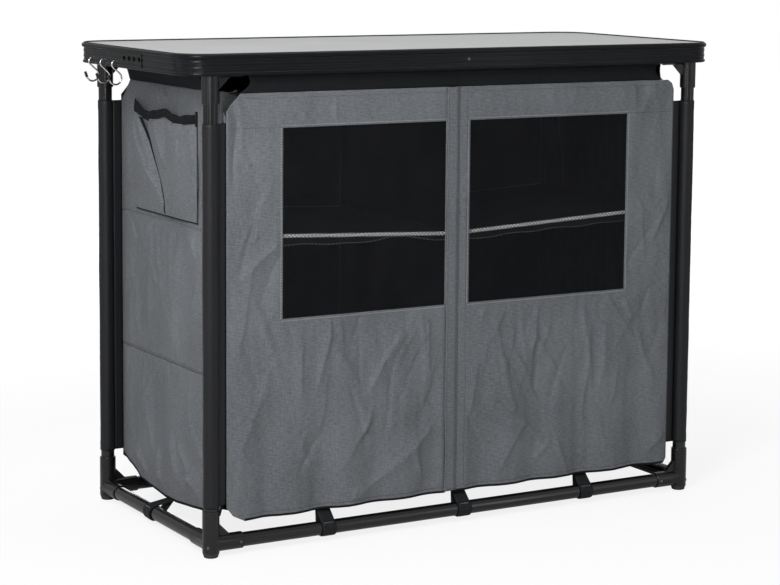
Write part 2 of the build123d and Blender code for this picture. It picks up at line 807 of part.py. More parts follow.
# Side pocket: a cloth that stands off the wall more at its mouth than at its foot
def pocket_section(z, stand, thickness):
    """Pleats that bow outwards between marks which stand off the wall."""
    marks = [pocket_rear_y]
    for pleat in pocket_pleats:
        marks.append(marks[-1] - pleat * (pocket_rear_y - pocket_front_y) / sum(pocket_pleats))
    offsets = [0.0] + [stand * (1 - pleat_share)] * (len(pocket_pleats) - 1) + [0.0]
    base = wall_t / 2 + pocket_seat_gap
    plane = Plane(origin=(-cabinet_half_x, 0, z), x_dir=Y_AXIS, z_dir=Z_AXIS)
    with BuildSketch(plane) as section:
        with BuildLine():
            for face in (base, base + thickness):
                for number in range(len(pocket_pleats)):
                    near = marks[number]
                    far = marks[number + 1]
                    bow = max(offsets[number], offsets[number + 1]) + stand * pleat_share
                    ThreePointArc(
                        (near, face + offsets[number]),
                        ((near + far) / 2, face + bow),
                        (far, face + offsets[number + 1]),
                    )
            for y in (marks[0], marks[-1]):
                Line((y, base), (y, base + thickness))
        make_face()
    return section.sketch


pocket_sections = [
    pocket_section(pocket_low_z, pocket_stand_low, pocket_t),
    pocket_section(pocket_high_z, pocket_stand_high, pocket_t),
]
with BuildPart() as side_pocket:
    loft(pocket_sections, ruled=True)
save(side_pocket, "side_pocket")

hem_section = pocket_section(pocket_high_z, pocket_stand_high, pocket_hem_t)
with BuildPart() as pocket_hem:
    extrude(hem_section, amount=pocket_hem_height)
save(pocket_hem, "pocket_hem")


# Straps that tie the cabinet down to the low tubes
front_reach = (-strap_end_in, floor_z - fit_gap - seam_gap - low_tube_z)
side_reach = (cabinet_half_x - leg_x, side_low_z - fit_gap - seam_gap - low_tube_z)
strap_places = [
    (Vector(share * leg_x, way * leg_y, low_tube_z), Y_AXIS * way, front_reach)
    for way in (-1, 1)
    for share in front_strap_shares
] + [(Vector(way * leg_x, side_strap_y, low_tube_z), X_AXIS * way, side_reach) for way in (-1, 1)]
straps = [
    make_loop(point, out, strap_width / 2, reach, strap_width / 2, strap_t).part
    for point, out, reach in strap_places
]
with BuildPart() as base_straps:
    add(straps)
save(base_straps, "base_straps")
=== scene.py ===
"""Camping cupboard, dressed: cloth, nets, zip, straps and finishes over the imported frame.

Sizes in the classes are millimetres, as in the part's source. A finished mesh is scaled to metres.
"""

import logging
import math
import random
from collections.abc import Callable, Iterable, Sequence
from dataclasses import dataclass, field
from enum import Enum

import bmesh
import bpy
from bmesh.types import BMesh
from mathutils import Matrix, Vector, noise


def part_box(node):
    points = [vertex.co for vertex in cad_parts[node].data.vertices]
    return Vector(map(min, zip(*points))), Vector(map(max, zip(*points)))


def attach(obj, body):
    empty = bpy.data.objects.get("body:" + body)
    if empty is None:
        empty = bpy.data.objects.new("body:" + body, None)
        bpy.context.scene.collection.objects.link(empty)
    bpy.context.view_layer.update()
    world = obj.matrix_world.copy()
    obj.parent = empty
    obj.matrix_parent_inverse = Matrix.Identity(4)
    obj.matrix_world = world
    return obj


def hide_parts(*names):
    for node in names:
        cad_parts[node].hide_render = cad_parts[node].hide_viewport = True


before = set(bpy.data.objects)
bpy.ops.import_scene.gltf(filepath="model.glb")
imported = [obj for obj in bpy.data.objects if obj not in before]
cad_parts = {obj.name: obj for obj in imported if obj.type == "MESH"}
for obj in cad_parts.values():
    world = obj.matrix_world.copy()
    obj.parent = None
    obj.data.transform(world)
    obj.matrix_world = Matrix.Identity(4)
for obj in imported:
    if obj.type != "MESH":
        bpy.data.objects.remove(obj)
log = logging.getLogger("cupboard")

MM = 0.001
WELD_MM = 1e-3
WHITE = (1.0, 1.0, 1.0, 1.0)
RIGHT, BACK, UP = Vector((1, 0, 0)), Vector((0, 1, 0)), Vector((0, 0, 1))
Pair = tuple[float, float]
Cut = tuple[float, float, float]
Spot = Callable[[float, float], Vector]
Station = tuple[Vector, Vector, Vector]
Node = bpy.types.Node
Value = bpy.types.NodeSocket | Sequence[float] | float


class Slot(Enum):
    """The record's material slots, passed with the new pieces."""

    BLACK_CLOTH = "black_cloth"
    TAPE = "black_tape"
    LINING = "lining_cloth"
    GREY_CLOTH = "grey_cloth"
    NET = "net"
    ZIP_TAPE = "zip_tape"
    EDGING = "edging"


class Held(Enum):
    """How a sheet is held."""

    HUNG = "hung"
    STRETCHED = "stretched"
    GATHERED = "gathered"
    LAID = "laid"


# Finishes
def linear(hex_colour: str) -> tuple[float, ...]:
    """Turn an sRGB hex colour into the linear one that a socket takes.

    Args:
        hex_colour: "#RRGGBB".

    Returns:
        Linear red, green and blue, and an alpha of 1.
    """
    parts = [int(hex_colour[start : start + 2], 16) / 255 for start in (1, 3, 5)]
    lit = [c / 12.92 if c <= 0.04045 else ((c + 0.055) / 1.055) ** 2.4 for c in parts]
    return (*lit, 1.0)


@dataclass(frozen=True)
class Tree:
    """A material's or the world's node tree, and the nodes that recur in it."""

    graph: bpy.types.NodeTree

    @classmethod
    def of(cls, owner: bpy.types.Material | bpy.types.World) -> "Tree":
        """The emptied tree of a material or world."""
        owner.use_nodes = True
        owner.node_tree.nodes.clear()
        return cls(owner.node_tree)

    def feed(self, node: Node, key: str | int, value: Value) -> None:
        """Link another node's output to an input, or set the input.

        Args:
            node: the node that is fed.
            key: the input's name or number.
            value: an output or a plain value.
        """
        if isinstance(value, bpy.types.NodeSocket):
            self.graph.links.new(value, node.inputs[key])
        else:
            node.inputs[key].default_value = value

    def add(self, kind: str, settings: dict | None = None, inputs: dict | None = None) -> Node:
        """Add a node, set it up and link it.

        Args:
            kind: the node's type name, without the ShaderNode that each starts with.
            settings: properties of the node.
            inputs: a value or another node's output for each input, by name or number.

        Returns:
            The new node.
        """
        made = self.graph.nodes.new(f"ShaderNode{kind}")
        for name, value in (settings or {}).items():
            setattr(made, name, value)
        for key, value in (inputs or {}).items():
            self.feed(made, key, value)
        return made

    def mix(self, share: Value, low: Value, high: Value) -> Value:
        """A number between two others."""
        return self.add("Mix", {"data_type": "FLOAT"}, {0: share, 2: low, 3: high}).outputs[0]

    def blend(self, share: Value, low: Value, high: Value, way: str = "MIX") -> Value:
        """A colour blended from two others."""
        settings = {"data_type": "RGBA", "blend_type": way}
        return self.add("Mix", settings, {0: share, 6: low, 7: high}).outputs[2]

    def remap(self, value: Value, span: Pair, to: Pair = (0.0, 1.0)) -> Value:
        """A number moved from one span to another."""
        ends = {"From Min": span[0], "From Max": span[1], "To Min": to[0], "To Max": to[1]}
        return self.add("MapRange", inputs={"Value": value} | ends).outputs[0]

    def work_out(self, operation: str, *values: Value) -> Value:
        """A number worked out from others."""
        return self.add("Math", {"operation": operation}, dict(enumerate(values))).outputs[0]

    def scaled(self, place: Value, scale: Sequence[float]) -> Value:
        """A place stretched along its axes."""
        return self.add("Mapping", inputs={"Vector": place, "Scale": scale}).outputs[0]

    def noise(
        self, place: Value, scale: float, detail: float, rough: float = 0.5, dims: int = 3
    ) -> Value:
        """Noise at a place, from 0 to 1, in two or three dimensions."""
        inputs = {"Vector": place, "Scale": scale, "Detail": detail, "Roughness": rough}
        return self.add("TexNoise", {"noise_dimensions": f"{dims}D"}, inputs).outputs["Fac"]

    def bump(self, height: Value, strength: float, size_mm: float) -> Node:
        """A bump of a real height in millimetres."""
        inputs = {"Height": height, "Strength": strength, "Distance": size_mm * MM}
        return self.add("Bump", inputs=inputs)


@dataclass(frozen=True)
class Finish:
    """What every finish shares: a name, a colour and how it shines."""

    name: str
    colour: str
    tint: str
    roughness: float = 0.5
    roughness_spread: float = 0.1
    metallic: float = 0.0
    coat: float = 0.0
    sheen: float = 0.0
    specular: float = 0.2

    def material(self) -> bpy.types.Material:
        """Make the material once, and give the same one afterwards."""
        known = bpy.data.materials.get(self.name)
        if known:
            return known
        made = bpy.data.materials.new(self.name)
        tree = Tree.of(made)
        values = {"Metallic": self.metallic, "Specular IOR Level": self.specular}
        values |= {"Coat Weight": self.coat, "Coat Roughness": 0.2}
        values |= {"Sheen Weight": self.sheen, "Sheen Roughness": 0.4}
        shader = tree.add("BsdfPrincipled", inputs=values)
        tree.add("OutputMaterial", inputs={"Surface": shader.outputs[0]})
        self.paint(tree, shader)
        return made

    def paint(self, tree: Tree, shader: Node) -> None:
        """Add the pattern of this kind of finish."""

    def spread(self, tree: Tree, shader: Node, blend: Value) -> Value:
        """Blend colour and roughness between their two ends.

        Args:
            tree: the material's node tree.
            shader: the shader that is fed.
            blend: 0 for the colour, 1 for the tint.

        Returns:
            The blended colour.
        """
        dull, shiny = self.roughness + self.roughness_spread, self.roughness - self.roughness_spread
        mixed = tree.blend(blend, linear(self.colour), linear(self.tint))
        tree.feed(shader, "Base Color", mixed)
        tree.feed(shader, "Roughness", tree.remap(blend, (0.0, 1.0), (dull, shiny)))
        return mixed


@dataclass(frozen=True)
class Surface(Finish):
    """A hard finish: patches of colour, and a grain that may run along one way."""

    patch_mm: float = 60.0
    grain_mm: float = 1.5
    grain_run: tuple[float, float, float] = (1.0, 1.0, 1.0)
    grain_share: float = 0.5
    contrast: Pair = (0.3, 0.7)  # the noise that reads as all colour and all tint
    bump_mm: float = 0.03
    edge_wear_and_highlight: str = ""  # the colour of the paler edges, partly wear and partly painted highlight, if it has any
    edge_wear_and_highlight_mm: float = 1.0
    edge_wear_and_highlight_turn: Pair = (0.96, 0.8)  # how far an edge turns where the paler edge starts and is full

    def paint(self, tree: Tree, shader: Node) -> None:
        """Patches, grain, a slight bump, and lighter edges: wear, and a painted highlight.

        Args:
            tree: the material's node tree.
            shader: the shader that is fed.
        """
        place = tree.add("TexCoord").outputs["Object"]
        patch = tree.noise(place, 1 / (self.patch_mm * MM), 3.0)
        along = tree.scaled(place, tuple(share / (self.grain_mm * MM) for share in self.grain_run))
        grain = tree.noise(along, 1.0, 4.0, 0.6)
        blend = tree.remap(tree.mix(self.grain_share, patch, grain), self.contrast)
        mixed = self.spread(tree, shader, blend)
        bump = tree.bump(grain, 0.6, self.bump_mm)
        tree.feed(shader, "Normal", bump.outputs[0])
        if self.edge_wear_and_highlight:
            # Paler edges where the surface turns: wear, and a painted highlight.
            rounded = tree.add("Bevel", {"samples": 4}, {"Radius": self.edge_wear_and_highlight_mm * MM}).outputs[0]
            sides = {0: rounded, 1: tree.add("NewGeometry").outputs["Normal"]}
            turn = tree.add("VectorMath", {"operation": "DOT_PRODUCT"}, sides).outputs["Value"]
            edge = tree.work_out("MULTIPLY", tree.remap(turn, self.edge_wear_and_highlight_turn), grain)
            tree.feed(shader, "Base Color", tree.blend(edge, mixed, linear(self.edge_wear_and_highlight)))
            tree.feed(bump, "Normal", rounded)


@dataclass(frozen=True)
class Woven(Finish):
    """A plain weave with slubs: threads that are here and there lighter along their run."""

    thread_mm: float = 1.0
    slub_mm: Pair = (11.0, 1.8)
    weft_share: float = 0.42
    fade_mm: float = 140.0
    fade_share: float = 0.22
    contrast: Pair = (0.27, 0.73)
    gap_shade: Pair = (0.76, 1.26)  # painted shade between the threads, and painted highlight on their crossings
    bump_mm: float = 0.16

    def paint(self, tree: Tree, shader: Node) -> None:
        """Crossing threads with painted shade between them and painted highlight where they cross,
        slubs each way, slow fading and the bump of the weave.

        Args:
            tree: the material's node tree.
            shader: the shader that is fed.
        """
        place = tree.add("UVMap", {"uv_map": "cloth"}).outputs[0]
        slubs = []
        for run in (self.slub_mm, self.slub_mm[::-1]):
            along = tree.scaled(place, (1 / (run[0] * MM), 1 / (run[1] * MM), 1.0))
            slubs.append(tree.noise(along, 1.0, 2.0, 0.7, 2))
        fade = tree.noise(place, 1 / (self.fade_mm * MM), 4.0, dims=2)
        blend = tree.mix(self.fade_share, tree.mix(self.weft_share, *slubs), fade)
        mixed = self.spread(tree, shader, tree.remap(blend, self.contrast))
        # A wave of scale 1 repeats every pi / 10 units, so this is one crest per thread pair.
        rate = math.pi / 10 / (2 * self.thread_mm * MM)
        wave = {"Vector": place, "Scale": rate, "Distortion": 0.4, "Detail": 1.0}
        ways = [{"bands_direction": way, "wave_profile": "SIN"} for way in ("X", "Y")]
        threads = [tree.add("TexWave", way, wave).outputs["Fac"] for way in ways]
        weave = tree.work_out("MULTIPLY", *threads)
        lift = tree.work_out("MULTIPLY_ADD", slubs[0], 0.6, weave)
        # Painted shade in the gaps between threads, painted highlight on their crossings.
        shade = tree.remap(weave, (0.0, 1.0), self.gap_shade)
        tree.feed(shader, "Base Color", tree.blend(1.0, mixed, shade, "MULTIPLY"))
        tree.feed(shader, "Normal", tree.bump(lift, 0.5, self.bump_mm).outputs[0])


# Grey polyester oxford: light slubs along the weft give it its brushed, denim-like look. The real
# thread is 0.4 mm, drawn at 1.1 mm so that the weave shows.
GREY_OXFORD = Woven("grey_oxford", "#505357", "#7b7e82", 0.86, 0.05, sheen=0.05, thread_mm=1.1)
# Acrylic coat on the cloth's back: even, nearly black, with a dull shine on the folds.
COATED_BACK = Woven(
    "coated_back", "#0d0e10", "#141518", 0.42, 0.06, specular=0.1,
    slub_mm=(40.0, 12.0), bump_mm=0.06,
)
# Black polyester oxford of the bands, sleeves and hems: the same weave, dyed through.
BLACK_OXFORD = Woven("black_oxford", "#121315", "#1d1e21", 0.8, 0.06, thread_mm=1.2, specular=0.12)
# The same cloth stretched round a leg: smoother, so that the light runs down it as a stripe.
STRETCHED_OXFORD = Woven(
    "stretched_oxford", "#121315", "#1b1c1f", 0.46, 0.05, thread_mm=1.2, bump_mm=0.04, specular=0.26
)
# Woven polypropylene webbing: ribs across the strap that catch the light.
WEBBING = Woven(
    "polypropylene_webbing", "#0f1012", "#1f2124", 0.62, 0.08, thread_mm=1.3, bump_mm=0.3
)
# Knitted polyester net, solution-dyed black.
NET_YARN = Surface(
    "net_yarn", "#17181a", "#242528", 0.7, 0.05, specular=0.1, grain_mm=2.0, bump_mm=0.02
)
# White polyester braid sewn along the shelves' front edges.
WHITE_BRAID = Surface("white_braid", "#f1f2f2", "#ffffff", 0.75, 0.05, grain_mm=1.4, bump_mm=0.1)
# Thin grey cord along the shelves' rear edges, and along the hems' lower edges, where it is a
# painted highlight of the lit hem edge; just visible through the net.
GREY_CORD_AND_HEM_HIGHLIGHT = Surface("grey_cord_and_hem_highlight", "#4f5255", "#6f7276", 0.6, 0.05, grain_mm=1.4)
# Bonded sewing thread, a shade lighter than the cloth where it shows.
GREY_THREAD = Surface("grey_thread", "#8d9094", "#b2b5b9", 0.6, 0.05, grain_mm=1.0)
# The same thread in charcoal, for seams that hardly show.
DARK_THREAD = Surface("dark_thread", "#2a2c2f", "#44474b", 0.6, 0.05, grain_mm=1.0)
# Powder-coated steel tube: fine orange peel, 1.5 mm across, and a satin shine.
POWDER_COAT = Surface(
    "powder_coated_steel", "#090a0b", "#101113", 0.16, 0.03, specular=0.5,
    patch_mm=90.0, bump_mm=0.004,
)
# Injection-moulded polypropylene: spark-eroded grain, and slightly paler edges that are a painted
# highlight.
POLYPROPYLENE = Surface(
    "moulded_polypropylene", "#0a0b0c", "#121316", 0.26, 0.06, specular=0.42,
    grain_mm=1.1, bump_mm=0.012, edge_wear_and_highlight="#3c3e42",
)
# Painted aluminium strip, roll-formed: faint streaks run along it, and its edges are paler, a
# painted highlight.
PAINTED_RAIL = Surface(
    "painted_aluminium", "#101113", "#151619", 0.22, 0.04, specular=0.11,
    patch_mm=120.0, grain_mm=1.0, grain_run=(0.02, 0.02, 1.0), grain_share=0.04, bump_mm=0.002,
    edge_wear_and_highlight="#6d7178", edge_wear_and_highlight_mm=1.2,
)
# Melamine-faced board: pale grey with a hardly visible satin texture.
MELAMINE = Surface(
    "melamine_board", "#b7b8b8", "#c2c3c3", 0.42, 0.05, coat=0.15, patch_mm=160.0, bump_mm=0.01
)
# Bright-plated spring wire.
PLATED_WIRE = Surface(
    "plated_wire", "#c4c6c8", "#e2e3e4", 0.16, 0.06, metallic=1.0, grain_mm=0.8, bump_mm=0.01
)
# Domed aluminium blind rivet.
RIVET_ALUMINIUM = Surface(
    "rivet_aluminium", "#55585c", "#6f7276", 0.42, 0.08, metallic=1.0, grain_mm=0.6, bump_mm=0.02
)
# Painted shade: matt near-black for the rings and linings in the rail's strap holes and a strip in
# its joint, so that they read as holes and gaps.
HOLE_SHADE_BLACK = Surface("painted_shade_black", "#050506", "#0a0a0b", 0.6, 0.05, specular=0.05, grain_mm=1.2)
# Soft rubber of the feet.
RUBBER = Surface("foot_rubber", "#141415", "#242424", 0.8, 0.06, grain_mm=1.2, bump_mm=0.05)
# Dipped vinyl on the hooks' ends.
DIPPED_TIP = Surface("dipped_vinyl", "#1b1c1e", "#2b2c2f", 0.28, 0.05, coat=0.3, grain_mm=2.0)
# Black-lacquered zinc of the slider.
LACQUERED_ZINC = Surface(
    "lacquered_zinc", "#202124", "#37393d", 0.34, 0.08, metallic=0.6, grain_mm=0.7, edge_wear_and_highlight="#8a8c90"
)
# Polyester coil of the zip.
ZIP_COIL = Surface("zip_coil", "#17181a", "#2c2e31", 0.45, 0.06, grain_mm=0.9)


# Shaping
def smooth(value: float) -> float:
    """Ease a share from 0 to 1."""
    value = min(max(value, 0.0), 1.0)
    return value * value * (3 - 2 * value)


@dataclass(frozen=True)
class Ripple:
    """Random waves in cloth: how long they are each way, and how high."""

    u: float
    v: float
    height: float

    def at(self, u: float, v: float, seed: float) -> float:
        """How high the waves of one seed are at a point."""
        return noise.noise((u / self.u, v / self.v, seed)) * self.height


def flat_grid(u: Pair, v: Pair, steps: tuple[int, int]) -> BMesh:
    """A flat grid, as cloth is cut, in the XY plane.

    Args:
        u: where it starts and ends along X.
        v: where it starts and ends along Y.
        steps: cells each way.

    Returns:
        The grid.
    """
    bm = bmesh.new()
    bmesh.ops.create_grid(bm, x_segments=steps[0], y_segments=steps[1], size=0.5)
    bmesh.ops.scale(bm, vec=(u[1] - u[0], v[1] - v[0], 1), verts=bm.verts)
    bmesh.ops.translate(bm, vec=((u[0] + u[1]) / 2, (v[0] + v[1]) / 2, 0), verts=bm.verts)
    return bm


def score(bm: BMesh, at: Vector, way: Vector, clear: bool = False) -> None:
    """Cut a flat piece along a line, and drop what lies beyond it if asked.

    Args:
        bm: the piece.
        at: a point of the line.
        way: the direction square to the line, away from what stays.
        clear: whether the far side goes.
    """
    parts = bm.verts[:] + bm.edges[:] + bm.faces[:]
    bmesh.ops.bisect_plane(bm, geom=parts, dist=1e-4, plane_co=at, plane_no=way, clear_outer=clear)


def cut_outline(bm: BMesh, outline: Sequence[Pair]) -> None:
    """Trim a flat piece to a convex outline.

    Args:
        bm: the piece.
        outline: its corners in order.
    """
    points = [Vector((*point, 0)) for point in outline]
    centre = sum(points, Vector()) / len(points)
    for near, far in zip(points, points[1:] + points[:1]):
        way = (far - near).cross(UP)
        score(bm, near, way if way.dot(centre - near) < 0 else -way, clear=True)


def scale_uv(bm: BMesh, u: float = 1.0, v: float = 1.0) -> None:
    """Stretch the flat places, where the grid wasn't laid out in millimetres.

    Args:
        bm: the piece.
        u: how much along X.
        v: how much along Y.
    """
    layer = bm.loops.layers.uv["cloth"]
    for face in bm.faces:
        for loop in face.loops:
            loop[layer].uv.x *= u
            loop[layer].uv.y *= v


def shape(bm: BMesh, place: Spot) -> BMesh:
    """Keep the flat place of each point as its UV in metres, then move it where it hangs.

    Args:
        bm: the flat piece.
        place: gives the point in space for a point of the flat piece.

    Returns:
        The same piece.
    """
    layer = bm.loops.layers.uv.new("cloth")
    for face in bm.faces:
        for loop in face.loops:
            loop[layer].uv = loop.vert.co.xy * MM
    for vert in bm.verts:
        vert.co = place(vert.co.x, vert.co.y)
    return bm


def swept(stations: Sequence[Station], section: Sequence[Pair]) -> BMesh:
    """A closed section carried along a line, with its ends closed.

    Args:
        stations: the middle of the section and its two axes, along the line.
        section: the section's corners in order.

    Returns:
        The solid.
    """
    count = len(section)

    def at(x: float, y: float) -> Vector:
        """The corner that a grid point becomes."""
        middle, side, up = stations[round(x)]
        across, rise = section[round(y) % count]
        return middle + side * across + up * rise

    bm = shape(flat_grid((0, len(stations) - 1), (0, count), (len(stations) - 1, count)), at)
    bmesh.ops.remove_doubles(bm, verts=bm.verts[:], dist=WELD_MM)
    bmesh.ops.holes_fill(bm, edges=[edge for edge in bm.edges if edge.is_boundary], sides=0)
    return bm


def close_ring(bm: BMesh) -> None:
    """Join the ends of a ring and turn its faces outwards."""
    bmesh.ops.remove_doubles(bm, verts=bm.verts[:], dist=WELD_MM)
    bmesh.ops.recalc_face_normals(bm, faces=bm.faces[:])


def along(points: Iterable[Vector], side: Vector, up: Vector) -> list[Station]:
    """Stations on a line whose section doesn't turn."""
    return [(point, side, up) for point in points]


def oval(width: float, height: float, count: int = 8) -> list[Pair]:
    """The corners of an oval section."""
    turns = [2 * math.pi * number / count for number in range(count)]
    return [(math.cos(turn) * width / 2, math.sin(turn) * height / 2) for turn in turns]


def join(target: BMesh, extra: BMesh) -> None:
    """Add one bmesh to another, and free it.

    Args:
        target: what grows.
        extra: what is added.
    """
    carried = bpy.data.meshes.new("carried")
    extra.to_mesh(carried)
    extra.free()
    target.from_mesh(carried)
    bpy.data.meshes.remove(carried)


def in_metres(bm: BMesh, name: str) -> bpy.types.Object:
    """Link a mesh in millimetres to the scene as an object in metres.

    Args:
        bm: the mesh, which is freed.
        name: the object's name.

    Returns:
        The object.
    """
    bmesh.ops.scale(bm, vec=(MM, MM, MM), verts=bm.verts)
    mesh = bpy.data.meshes.new(name)
    bm.to_mesh(mesh)
    bm.free()
    made = bpy.data.objects.new(name, mesh)
    bpy.context.scene.collection.objects.link(made)
    return made


def finish_piece(
    bm: BMesh,
    name: str,
    slot: Slot,
    finishes: Sequence[Finish],
    outward: Vector | None = None,
    thickness: float = 0.0,
    stands_for: Sequence[str] = (),
    body: str = "frame",
) -> bpy.types.Object:
    """Turn a bmesh in millimetres into a finished piece.

    Args:
        bm: the piece's mesh, which is freed.
        name: the piece's name.
        slot: the record's slot for the piece; not used.
        finishes: outer finish, and the inner one where it differs.
        outward: which way an open sheet's outer side faces.
        thickness: the wall given to an open sheet.
        stands_for: CAD nodes it replaces.
        body: the CAD body it rides.

    Returns:
        The piece.
    """
    if outward is None:
        bmesh.ops.recalc_face_normals(bm, faces=bm.faces[:])
    else:
        bm.normal_update()
        if sum((face.normal * face.calc_area() for face in bm.faces), Vector()).dot(outward) < 0:
            bmesh.ops.reverse_faces(bm, faces=bm.faces[:])
    piece = in_metres(bm, name)
    piece.data.shade_smooth()
    for finish in finishes:
        piece.data.materials.append(finish.material())
    if thickness:
        wall = piece.modifiers.new("wall", "SOLIDIFY")
        wall.thickness = thickness * MM
        wall.offset = 0.0
        wall.material_offset = 1 if len(finishes) > 1 else 0
    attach(piece, body)
    if stands_for:
        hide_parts(*stands_for)
    log.info("%s rides %s", name, body)
    return piece


@dataclass
class StitchRow:
    """Lock stitches along lines on cloth: each one a small bead of thread."""

    length: float = 2.8
    pitch: float = 4.4
    thick: float = 0.5
    bm: BMesh = field(default_factory=bmesh.new)

    def run(self, place: Spot, start: Pair, end: Pair, outward: Vector) -> None:
        """Lay stitches along a line of the flat cloth.

        Args:
            place: gives the point in space for a point of the flat cloth.
            start: where the line starts on the flat cloth.
            end: where it ends.
            outward: the side that the stitches lie on.
        """
        near, far = Vector(start), Vector(end)
        size = (far - near).length
        count = max(1, int(size / self.pitch))
        for number in range(count):
            share = (number + 0.2) / count
            here, there = near.lerp(far, share), near.lerp(far, share + self.length / size)
            first, last = place(here.x, here.y), place(there.x, there.y)
            way = (last - first).normalized()
            side = way.cross(outward).normalized()
            turn = Matrix((way, side, way.cross(side))).transposed().to_4x4()
            bead = turn @ Matrix.Diagonal((self.length, self.thick, self.thick, 1))
            spot = Matrix.Translation((first + last) / 2) @ bead
            bmesh.ops.create_cube(self.bm, size=1, matrix=spot)

    def finish(self, name: str, thread: Finish, slot: Slot, body: str = "frame") -> None:
        """Make the rows one piece."""
        finish_piece(self.bm, name, slot, [thread], body=body)


# Hanging cloth
@dataclass(frozen=True)
class Crease:
    """A crease pressed into the cloth: a sharp crest with a broad and a steep side."""

    start: Pair
    end: Pair
    width: float
    height: float

    def stand(self, u: float, z: float) -> float:
        """How far the crease lifts the cloth at a point.

        Args:
            u: place along the cloth's run.
            z: height.

        Returns:
            The lift, in millimetres.
        """
        run, rise = self.end[0] - self.start[0], self.end[1] - self.start[1]
        size = math.hypot(run, rise)
        from_u, from_z = u - self.start[0], z - self.start[1]
        share = (from_u * run + from_z * rise) / size / size
        off = (from_u * rise - from_z * run) / size
        if not -0.05 < share < 1.05 or abs(off) > 4 * self.width:
            return 0.0
        ends = smooth((share + 0.05) / 0.35) * smooth((1.05 - share) / 0.35)
        slope = self.width * (1.25 if off < 0 else 0.5)
        return ends * self.height * math.exp(-abs(off) / slope)


def creases(*rows: tuple[float, ...]) -> list[Crease]:
    """Creases placed after the photograph.

    Args:
        rows: start, end, width and height of each, as six numbers.

    Returns:
        The creases.
    """
    return [Crease(row[:2], row[2:4], *row[4:]) for row in rows]


def loose_creases(
    seed: int, u: Pair, z: Pair, count: int, lean: Pair = (50.0, 130.0)
) -> list[Crease]:
    """Small creases from packing, the same on every run.

    Args:
        seed: which set of creases.
        u: the span along the cloth's run.
        z: the span of heights.
        count: how many.
        lean: the range of their angle to the floor, in degrees.

    Returns:
        The creases.
    """
    dice = random.Random(seed)
    made = []
    for _ in range(count):
        start = (dice.uniform(*u), dice.uniform(*z))
        angle = math.radians(dice.uniform(*lean))
        size = dice.uniform(40, 60) * dice.uniform(1, 4)
        end = (start[0] + math.cos(angle) * size, start[1] + math.sin(angle) * size)
        width = dice.uniform(5, 14)
        made.append(Crease(start, end, width, dice.choice((-1, 1, 1)) * dice.uniform(0.5, 2.0)))
    return made


